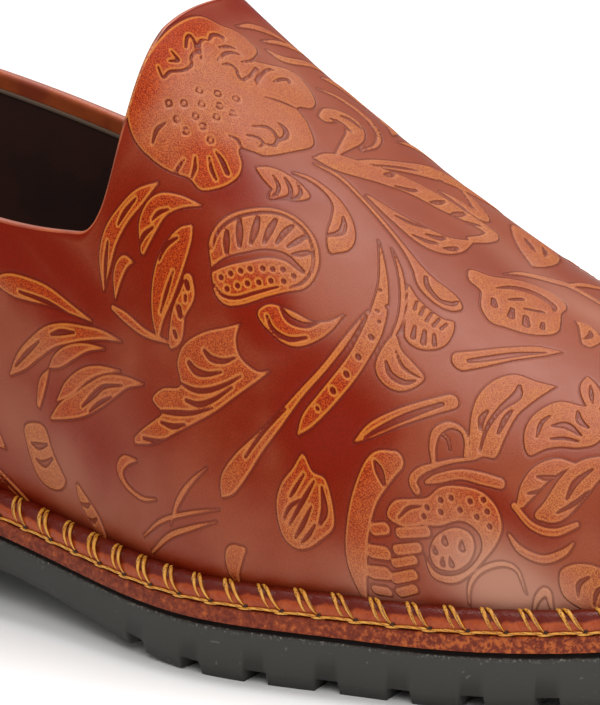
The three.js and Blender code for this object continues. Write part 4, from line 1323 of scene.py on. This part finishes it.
def threads(name, runs, widths, sides=8):
    """Many short threads of two plies in one mesh: runs of points, each with its own half widths."""
    count, steps = runs.shape[:2]
    along = np.gradient(runs, axis=1)
    along /= np.linalg.norm(along, axis=-1, keepdims=True)
    across = np.cross(along, (0.0, 0.0, 1.0))
    across /= np.maximum(np.linalg.norm(across, axis=-1, keepdims=True), 1e-9)
    over = np.cross(across, along)
    steps_long = np.linalg.norm(np.diff(runs, axis=1), axis=-1)
    walked = np.concatenate([np.zeros((count, 1)), np.cumsum(steps_long, 1)], 1)
    turn = np.linspace(0, 2 * math.pi, sides + 1)
    twist = 2 * math.pi * walked[..., None] / PLY_PITCH
    ply = 0.5 + 0.5 * np.cos(2 * (turn - twist))
    radius = widths[..., None] * (1.05 - 0.16 * ply)
    points = (runs[:, :, None] + across[:, :, None] * (radius * np.cos(turn))[..., None]
              + over[:, :, None] * (radius * np.sin(turn))[..., None])
    grid = points.reshape(count * steps, sides + 1, 3)
    piece = shaped_grid(name, grid, fields={"ply": ply.reshape(count * steps, sides + 1)})
    merged(piece, 0.000002, lambda k: (k % (count * steps - 1)) % steps == steps - 1)
    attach(piece, "root")
    return piece


def stitch_strands():
    """Two strands from each place in the crease, over the bead, to the hole and to the running thread;
    a hand's unevenness comes from sines of the stitch's number."""
    t = np.linspace(0, 1, 14)
    spindle = STRAND_END + STRAND_SWELL * np.sin(math.pi * np.clip(t * 0.95 + 0.03, 0, 1)) ** 0.8
    runs, widths = [], []
    for k, hole in enumerate(holes):
        wander = 0.25 * math.sin(12.9898 * k)
        for top, foot, sag, down in STRANDS:
            way = hole + (top + wander) + (foot - top - wander) * t ** 1.1 + sag * np.sin(math.pi * t)
            runs.append(on_bead(way, 0.22 + down * t, -0.20 + 0.46 * np.sin(math.pi * t) ** 0.7))
            widths.append(spindle * (1 + 0.1 * math.sin(78.233 * k + top)))
    return threads("stitch_strands", np.array(runs), np.array(widths))


def running_stitches():
    """The thread that runs along the bead's foot from hole to hole, each length stepping under the last."""
    t = np.linspace(0, 1, 15)
    width = RUNNING_WIDTH * np.clip(np.minimum(t, 1 - t) * 9 + 0.35, 0, 1)
    way = holes[:, None] - RUNNING_LAP + (stitch_pitch + RUNNING_LAP) * t
    runs = on_bead(way, 0 * way + 0.985, 0.30)
    runs[..., 2] += -0.30 + 0.36 * smooth(t, 0.10, 0.50)
    return threads("running_thread", runs, width + 0 * way)


def painted_hole_shade():
    """Dark marks over the holes that the thread goes into: painted shade standing in for their dark
    insides.
    """
    t = np.linspace(0, 1, 5)
    width = HOLE_WIDTH * np.sin(math.pi * np.clip(t, 0.02, 0.98)) ** 0.5
    way = holes[:, None] + 0.15 + 0.75 * t
    return threads("painted_hole_shade", on_bead(way, 0 * way + 0.97, 0.10), width + 0 * way, sides=6)


def ruled_solid(name, turns, profiles, node, marks=None, along=None):
    """A solid across the outline: per column, one closed section through outer and inner sides."""
    grid = np.concatenate([profiles(turns, OUTER), profiles(turns, INNER)[:, ::-1]], 1)
    grid = np.concatenate([grid, grid[:, :1]], 1)
    fields = {}
    for label, values in (marks or {}).items():
        row = np.concatenate([values, values[::-1], values[:1]])
        fields[label] = np.ones(len(turns))[:, None] * row[None, :]
    for label, values in (along or {}).items():
        fields[label] = values[:, None] * np.ones(grid.shape[1])[None, :]
    piece = shaped_grid(name, grid, fields=fields)
    return stands_for(merged(piece, 0.000005, fill=True), node)


def section_rows(turns, side, rows):
    """Rows of (reach, height) over the columns, as points; a height takes the place along the last."""
    x, y, nx, ny = edge_point(turns, side)
    points = []
    for reach, height in rows:
        px, py = x + nx * reach, y + ny * reach
        points.append(np.stack([px, py, height(px / LAST_LENGTH)], -1))
    return np.stack(points, 1)


def midsole_edge():
    """The midsole's rim with softened arrises; its section is rows of reach and depth under its top."""
    turns = side_turns(1.2)
    inward, soft, corner = WELT_REACH - 12, 0.35, 0.1
    section = (
        (inward, MIDSOLE), (WELT_REACH - soft, MIDSOLE), (WELT_REACH - corner, MIDSOLE - corner),
        (WELT_REACH, MIDSOLE - soft), (WELT_REACH, MIDSOLE / 2), (WELT_REACH, soft),
        (WELT_REACH - corner, corner), (WELT_REACH - soft, 0), (inward, 0),
    )
    rows = [(reach, lambda at, depth=depth: board(at) - depth) for reach, depth in section]
    worn = smooth(place_of(turns) * LAST_LENGTH, 175, 225)
    return ruled_solid("midsole_layer", turns, lambda turns, side: section_rows(turns, side, rows),
                       "midsole", along={"worn": worn})


def lugged_solid(name, start, stop, lugs_from, top, bottom, wall_reach, low_reach, node):
    """A rubber sole part with lugs round its edge, a channel behind them and bars across the middle."""
    reach = WELT_REACH - SOLE_INSET
    spans = {}
    half = GROOVE_WIDTH / 2
    for side in (OUTER, INNER):
        angles = np.linspace(max(lugs_from, start), stop, 4000)
        x, y, _, _ = edge_point(angles, side, reach)
        walked = np.r_[0, np.cumsum(np.hypot(np.diff(x), np.diff(y)))]
        middles = np.arange(LUG_PITCH / 2, walked[-1], LUG_PITCH)
        spans[side] = [tuple(np.interp((p - half, p + half), walked, angles)) for p in middles]
    bars = []
    x = (place_of(lugs_from) if lugs_from > 0 else BEHIND_HEEL) * LAST_LENGTH + LUG_PITCH
    while x < min(place_of(stop), 1) * LAST_LENGTH:
        if x - half > place_of(start) * LAST_LENGTH:
            bars.append(tuple(angle_of(np.array([x - half, x + half]) / LAST_LENGTH)))
        x += LUG_PITCH
    slope, tiny = GROOVE_SPLAY / LAST_LENGTH, 0.0004
    edges = []
    for low, high in spans[OUTER] + spans[INNER] + bars:
        edges += [low, low + slope + tiny, high, high - (slope + tiny)]
    turns = np.unique(np.r_[np.clip(np.r_[side_turns(1.5), edges], start, stop), start, stop])

    def groove_depth(side_spans):
        inside = np.zeros(len(turns))
        for low, high in side_spans:
            rising = np.clip((turns - low) / slope, 0, 1)
            falling = np.clip((high - turns) / slope, 0, 1)
            inside = np.maximum(inside, np.minimum(rising, falling))
        return inside * LUG_DEPTH

    def profiles(turns, side):
        groove, bar = groove_depth(spans[side]), groove_depth(bars)
        channel, wall = reach - CLEAT_LENGTH, wall_reach[1]
        rows = [
            (channel - GROOVE_WIDTH, lambda at: bottom(at) + bar),
            (channel - GROOVE_WIDTH, lambda at: bottom(at) + LUG_DEPTH),
            (channel, lambda at: bottom(at) + LUG_DEPTH),
            (channel, lambda at: bottom(at) + groove),
            (low_reach, lambda at: bottom(at) + groove),
            (wall_reach[0], lambda at: bottom(at) + LUG_DEPTH),
            (wall, lambda at: top(at) - SEAM_DEPTH - 0.9),
            (wall, lambda at: top(at) - SEAM_DEPTH - TRIM),
            (wall - TRIM, lambda at: top(at) - SEAM_DEPTH),
            (wall - SEAM_REACH, lambda at: top(at) - SEAM_DEPTH),
            (wall - SEAM_REACH, top),
            (wall - 16, top),
        ]
        return section_rows(turns, side, rows)

    # The seam mark is black cement and painted shade under the midsole; the trim mark is frayed rubber
    marks = {
        "seam": np.array([0] * 9 + [1, 1, 1.0]),
        "trim": np.array([0] * 7 + [1, 1, 0.4, 0, 0.0]),
    }
    return ruled_solid(name, turns, profiles, node, marks)


reach = WELT_REACH - SOLE_INSET
outsole_rubber = lugged_solid(
    "outsole_rubber", 0.0, math.pi, float(angle_of(LUGS_FROM)), lambda at: board(at) - MIDSOLE - GAP,
    tread, (reach, reach), reach - LUG_BEVEL, "outsole")
heel_rubber = lugged_solid(
    "heel_rubber", 0.0, float(angle_of(HEEL_BREAST_AT)), 0.0, lambda at: tread(at) - GAP,
    lambda at: at * 0, (reach - HEEL_TAPER, reach - LUG_BEVEL), reach - HEEL_TAPER - LUG_BEVEL, "heel")
midsole_piece = midsole_edge()
bead_piece = welt_bead()
strands = stitch_strands()
running_thread = running_stitches()
hole_shade = painted_hole_shade()


# Camera at the photograph's angle, from the focal length and place that fit it
FOCAL_PIXELS, PICTURE_PIXELS, SENSOR = 5409, 705, 36.0
AZIMUTH, ELEVATION = 32.66, 13.28
SHIFT = (0.0750, -0.0301)
LOOK_AT = (0, -MIDDLE_Y * MM, 0.0476)


def camera():
    data = bpy.data.cameras.new("camera")
    data.sensor_width = SENSOR
    data.lens = FOCAL_PIXELS / PICTURE_PIXELS * SENSOR
    data.shift_x, data.shift_y = SHIFT
    eye = bpy.data.objects.new("camera", data)
    bpy.context.scene.collection.objects.link(eye)
    azimuth, elevation = math.radians(AZIMUTH), math.radians(ELEVATION)
    back = Vector((math.cos(elevation) * math.sin(azimuth), -math.cos(elevation) * math.cos(azimuth),
                   math.sin(elevation)))
    eye.location = Vector(LOOK_AT) + back
    eye.rotation_euler = back.to_track_quat("Z", "Y").to_euler()
    bpy.context.scene.camera = eye


camera()
bpy.context.scene.view_settings.view_transform = "Standard"


# Materials
def linear(value):
    """A colour from its sRGB hex value."""
    parts = [int(value[k:k + 2], 16) / 255 for k in (1, 3, 5)]
    return [c / 12.92 if c <= 0.04045 else ((c + 0.055) / 1.055) ** 2.4 for c in parts] + [1.0]


def add(tree, kind, settings=None, inputs=None):
    """A node with its settings, and its inputs set to values or linked to outputs."""
    node = tree.nodes.new(kind)
    for name, value in (settings or {}).items():
        setattr(node, name, value)
    for name, value in (inputs or {}).items():
        socket = node.inputs[name]
        if isinstance(value, bpy.types.NodeSocket):
            tree.links.new(value, socket)
        elif isinstance(value, str):
            socket.default_value = linear(value)
        else:
            socket.default_value = value
    return node


def new_material(name, **values):
    """A material with its shader's plain values, and the place it is read at."""
    material = bpy.data.materials.new(name)
    material.use_nodes = True
    tree = material.node_tree
    shader = tree.nodes["Principled BSDF"]
    for label, value in values.items():
        shader.inputs[label.replace("_", " ")].default_value = value
    spot = add(tree, "ShaderNodeTexCoord").outputs["Object"]
    return material, tree, shader, spot


def noise(tree, spot, size, detail=2.0, rough=0.5):
    """Cloudy noise whose patches are about the given size in millimetres."""
    inputs = {"Vector": spot, "Scale": 1000 / size, "Detail": detail, "Roughness": rough}
    return add(tree, "ShaderNodeTexNoise", None, inputs).outputs["Fac"]


def spread(tree, value, low, high, to_low=0.0, to_high=1.0):
    inputs = {"Value": value, "From Min": low, "From Max": high, "To Min": to_low, "To Max": to_high}
    return add(tree, "ShaderNodeMapRange", {"interpolation_type": "SMOOTHSTEP"}, inputs).outputs["Result"]


def blend(tree, factor, first, second):
    inputs = {0: factor, 6: first, 7: second}
    return add(tree, "ShaderNodeMix", {"data_type": "RGBA"}, inputs).outputs[2]


def figure(tree, way, first, second):
    """A sum with numbers."""
    return add(tree, "ShaderNodeMath", {"operation": way}, {0: first, 1: second}).outputs[0]


def times(tree, first, second):
    return figure(tree, "MULTIPLY", first, second)


def field(tree, name):
    return add(tree, "ShaderNodeAttribute", {"attribute_name": name}).outputs["Fac"]


def bumped(tree, height, strength, distance, under=None):
    """A normal bent by a height; the distance is in millimetres."""
    inputs = {"Strength": strength, "Distance": distance * MM, "Height": height}
    if under:
        inputs["Normal"] = under
    return add(tree, "ShaderNodeBump", None, inputs).outputs["Normal"]


def link(tree, shader, **outputs):
    """Links outputs to the shader's sockets; an underline in a name stands for a space."""
    for label, output in outputs.items():
        tree.links.new(output, shader.inputs[label.replace("_", " ")])


def tool_marks(tree):
    """The raised figures, the dark line round them, a band inside their edges for a painted highlight,
    and their height, read from how far inside they are.
    """
    depth = field(tree, "depth")
    raised = spread(tree, depth, -0.06, 0.20)
    off = figure(tree, "ABSOLUTE", figure(tree, "ADD", depth, 0.13), 0.0)
    line = spread(tree, off, 0.24, 0.04)
    # A band just inside each figure's edge, for a painted highlight
    lip_highlight = spread(tree, figure(tree, "ABSOLUTE", figure(tree, "SUBTRACT", depth, 0.30), 0.0), 0.30, 0.06)
    height = figure(tree, "SUBTRACT", times(tree, raised, 0.5), times(tree, line, 0.8))
    return raised, line, lip_highlight, height


def tooled_calf():
    """Full-grain calf, plate-tooled, dyed by hand and waxed: the raised figures keep an open grain and
    take more tan, the ground is pressed smooth, and the dye is burnt darker in soft patches. Pale
    patches of painted sheen and a painted highlight along the edges of the raised figures stand in for
    light."""
    material, tree, shader, spot = new_material("tooled_calf", IOR=1.5)
    raised, line, lip_highlight, height = tool_marks(tree)
    burnish = field(tree, "burnish")
    clouds = noise(tree, spot, 26, 3)
    patches = noise(tree, spot, 7, 2)
    grain = noise(tree, spot, 0.21, 1.2, 0.5)
    specks = spread(tree, grain, 0.38, 0.62)
    burnt = figure(tree, "ADD", burnish, spread(tree, clouds, 0.35, 0.65, -0.16, 0.16))
    burnt = spread(tree, burnt, 0.0, 0.95)
    ground = blend(tree, spread(tree, clouds, 0.35, 0.65), "#904325", "#87381b")
    ground = blend(tree, burnt, ground, "#7c1803")
    rubbed = times(tree, spread(tree, specks, 0, 1, 0.38, 0.0), spread(tree, burnt, 0, 1, 0.45, 1.0))
    ground = blend(tree, rubbed, ground, "#571507")
    light = blend(tree, spread(tree, patches, 0.35, 0.65), "#b56234", "#bf7234")
    light = blend(tree, burnt, light, "#c04a12")
    dark = blend(tree, burnt, "#91411f", "#761805")
    tan = blend(tree, specks, dark, light)
    # Painted highlight: a pale band along the edges of the raised figures, stronger in the burnt patches
    lip_highlight_tone = blend(tree, burnt, "#d08a5c", "#d98a35")
    tan = blend(tree, times(tree, lip_highlight, spread(tree, burnt, 0, 1, 0.22, 0.60)), tan, lip_highlight_tone)
    colour = blend(tree, times(tree, raised, 0.80), ground, tan)
    # Painted sheen: pale colour in patches, standing in for soft reflections
    painted_sheen = spread(tree, field(tree, "painted_sheen"), 0.1, 1.0, 0.0, 0.62)
    colour = blend(tree, painted_sheen, colour, "#c2917a")
    colour = blend(tree, times(tree, line, 0.40), colour, "#4e1306")
    rough = spread(tree, raised, 0, 1, 0.38, 0.50)
    rough = figure(tree, "ADD", rough, spread(tree, patches, 0.3, 0.7, -0.05, 0.06))
    pits = times(tree, grain, spread(tree, raised, 0, 1, 0.35, 0.80))
    normal = bumped(tree, pits, 0.8, 0.12, under=bumped(tree, height, 0.9, 0.12))
    link(tree, shader, Base_Color=colour, Roughness=rough, Normal=normal,
         Specular_IOR_Level=spread(tree, burnt, 0, 1, 0.28, 0.08))
    return material


def edge_calf():
    """The same calf rolled over the opening's edge: burnished by the edge iron, with a painted highlight
    along the top of the roll.
    """
    material, tree, shader, spot = new_material("edge_calf", IOR=1.5, Roughness=0.42)
    clouds = noise(tree, spot, 9, 2)
    grain = noise(tree, spot, 0.6, 1.5)
    raised, line, lip_highlight, height = tool_marks(tree)
    rim_highlight_and_cut_edge = field(tree, "rim_highlight_and_cut_edge")
    plain = blend(tree, spread(tree, clouds, 0.38, 0.62), "#8e3a1e", "#a84d22")
    tan = blend(tree, spread(tree, grain, 0.42, 0.6), "#a4481c", "#cf8236")
    colour = blend(tree, times(tree, raised, 0.85), plain, tan)
    colour = blend(tree, times(tree, line, 0.6), colour, "#551a0a")
    # Painted highlight along the top of the roll
    colour = blend(tree, rim_highlight_and_cut_edge, colour, "#96513a")
    link(tree, shader, Base_Color=colour, Normal=bumped(tree, grain, 0.4, 0.1))
    return material


def bead_calf():
    """A calf strip drawn tight over a cord: smooth and glossy on its crown, with painted shade toward the
    crease and in the dips at each stitch.
    """
    material, tree, shader, spot = new_material("bead_calf", IOR=1.5, Specular_IOR_Level=0.32)
    clouds = noise(tree, spot, 2.4, 3)
    grain = noise(tree, spot, 0.4, 2)
    crease = field(tree, "crease")
    colour = blend(tree, spread(tree, clouds, 0.35, 0.65), "#963a14", "#a5491f")
    # Painted shade from the crease field, mottled by the clouds
    dark = spread(tree, figure(tree, "ADD", crease, times(tree, clouds, 1.1)), 0.80, 1.30)
    colour = blend(tree, dark, colour, "#5e1303")
    colour = blend(tree, spread(tree, grain, 0.5, 0.75, 0.0, 0.35), colour, "#6a2212")
    rough = spread(tree, clouds, 0.3, 0.7, 0.26, 0.42)
    rise = figure(tree, "ADD", grain, times(tree, clouds, 1.5))
    link(tree, shader, Base_Color=colour, Roughness=rough, Normal=bumped(tree, rise, 0.5, 0.2))
    return material


def waxed_thread():
    """Linen thread of two plies, drawn through wax: ochre, with painted shade in the grooves where the
    plies meet.
    """
    material, tree, shader, spot = new_material("waxed_thread", IOR=1.48, Roughness=0.42)
    ply = field(tree, "ply")
    patches = noise(tree, spot, 1.6, 2)
    colour = blend(tree, spread(tree, patches, 0.35, 0.65), "#c47f22", "#d69a3e")
    # Painted shade in the grooves between the plies
    colour = blend(tree, spread(tree, ply, 0.50, 0.95), colour, "#6a2f0a")
    fuzz = noise(tree, spot, 0.22, 1)
    link(tree, shader, Base_Color=colour, Normal=bumped(tree, fuzz, 0.4, 0.06))
    return material


def cut_veg_leather():
    """Vegetable-tanned midsole, cut and stained on its edge: open fibres, dark pores and orange veins."""
    material, tree, shader, spot = new_material("cut_veg_leather", Roughness=0.6, Specular_IOR_Level=0.25)
    veins = noise(tree, spot, 1.1, 4, 0.65)
    cells = add(tree, "ShaderNodeTexVoronoi", None, {"Vector": spot, "Scale": 1000 / 0.9})
    pores = cells.outputs["Distance"]
    worn = field(tree, "worn")
    colour = blend(tree, spread(tree, veins, 0.36, 0.62), "#64210f", "#86381a")
    bright = spread(tree, figure(tree, "ADD", veins, times(tree, worn, 0.12)), 0.58, 0.72)
    colour = blend(tree, bright, colour, "#ab5524")
    colour = blend(tree, spread(tree, pores, 0.30, 0.10, 0.0, 0.75), colour, "#54190c")
    rise = figure(tree, "ADD", veins, times(tree, pores, 0.6))
    link(tree, shader, Base_Color=colour, Normal=bumped(tree, rise, 0.7, 0.2))
    return material


def moulded_rubber():
    """Nitrile rubber, moulded in one piece: matt dark grey, near black in the seam on top for its black
    cement and for painted shade under the midsole, and pale crumbs where the upper edge was trimmed and
    roughed."""
    material, tree, shader, spot = new_material("moulded_rubber", IOR=1.52)
    clouds = noise(tree, spot, 12, 3)
    crumbs = noise(tree, spot, 0.55, 2, 0.7)
    seam, trim = field(tree, "seam"), field(tree, "trim")
    colour = blend(tree, spread(tree, clouds, 0.3, 0.7), "#2a2823", "#302e29")
    frayed = times(tree, trim, spread(tree, crumbs, 0.52, 0.68))
    colour = blend(tree, frayed, colour, "#77746a")
    # Near black in the seam: partly black cement, partly painted shade under the midsole's overhang
    colour = blend(tree, seam, colour, "#060504")
    lone = noise(tree, spot, 0.8, 0)
    colour = blend(tree, spread(tree, lone, 0.80, 0.84, 0.0, 0.25), colour, "#7f7c72")
    rough = spread(tree, clouds, 0.3, 0.7, 0.56, 0.68)
    link(tree, shader, Base_Color=colour, Roughness=rough, Normal=bumped(tree, crumbs, 0.25, 0.1))
    return material


def brushed_lining():
    """Dark brown kid lining, lightly brushed: nearly black inside, its cut edge grey-brown."""
    material, tree, shader, spot = new_material("brushed_lining", IOR=1.45, Roughness=0.72)
    clouds = noise(tree, spot, 14, 3)
    nap = noise(tree, spot, 0.5, 2)
    colour = blend(tree, spread(tree, clouds, 0.35, 0.65), "#260c05", "#331308")
    colour = blend(tree, field(tree, "rim_highlight_and_cut_edge"), colour, "#6a5647")
    link(tree, shader, Base_Color=colour, Normal=bumped(tree, nap, 0.4, 0.1))
    return material


def paper_floor():
    """Matt white paper sweep."""
    material, tree, shader, spot = new_material("paper_floor", Roughness=0.9, Specular_IOR_Level=0.2)
    pulp = noise(tree, spot, 40, 2)
    colour = blend(tree, spread(tree, pulp, 0.3, 0.7), "#f4f3f2", "#f7f6f5")
    link(tree, shader, Base_Color=colour)
    return material


lining_dark, rubber, thread = brushed_lining(), moulded_rubber(), waxed_thread()
for material, pieces in (
        (tooled_calf(), skins), (edge_calf(), [edge_leather]), (bead_calf(), [bead_piece]),
        # The lining's dark colour also serves as the painted shade over the thread holes
        (lining_dark, [lining_leather, lining_rim, hole_shade]), (cut_veg_leather(), [midsole_piece]),
        (rubber, [outsole_rubber, heel_rubber]), (thread, [strands, running_thread])):
    for piece in pieces:
        piece.data.materials.append(material)
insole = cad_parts["insole"]
insole.data.materials.clear()
insole.data.materials.append(lining_dark)


# Floor and soft light
def paper():
    mesh = bpy.data.meshes.new("floor")
    bm = bmesh.new()
    bmesh.ops.create_grid(bm, x_segments=1, y_segments=1, size=4)
    bm.to_mesh(mesh)
    bm.free()
    floor = bpy.data.objects.new("floor", mesh)
    bpy.context.scene.collection.objects.link(floor)
    mesh.materials.append(paper_floor())


def soft_box(name, spot, aim, size, power):
    data = bpy.data.lights.new(name, "AREA")
    data.shape = "RECTANGLE"
    data.size, data.size_y = size
    data.energy = power
    lamp = bpy.data.objects.new(name, data)
    lamp.location = spot
    lamp.rotation_euler = (Vector(spot) - Vector(aim)).to_track_quat("Z", "Y").to_euler()
    bpy.context.scene.collection.objects.link(lamp)


def studio():
    world = bpy.data.worlds.new("studio")
    bpy.context.scene.world = world
    world.use_nodes = True
    background = world.node_tree.nodes["Background"]
    background.inputs["Color"].default_value = (1, 1, 1, 1)
    background.inputs["Strength"].default_value = 0.42
    soft_box("overhead", (0.0, 0.45, 1.5), (0, 0, 0), (1.7, 1.2), 27)
    soft_box("front", (0.70, -0.92, 0.80), (0.05, 0, 0.03), (0.9, 0.6), 8)


paper()
studio()
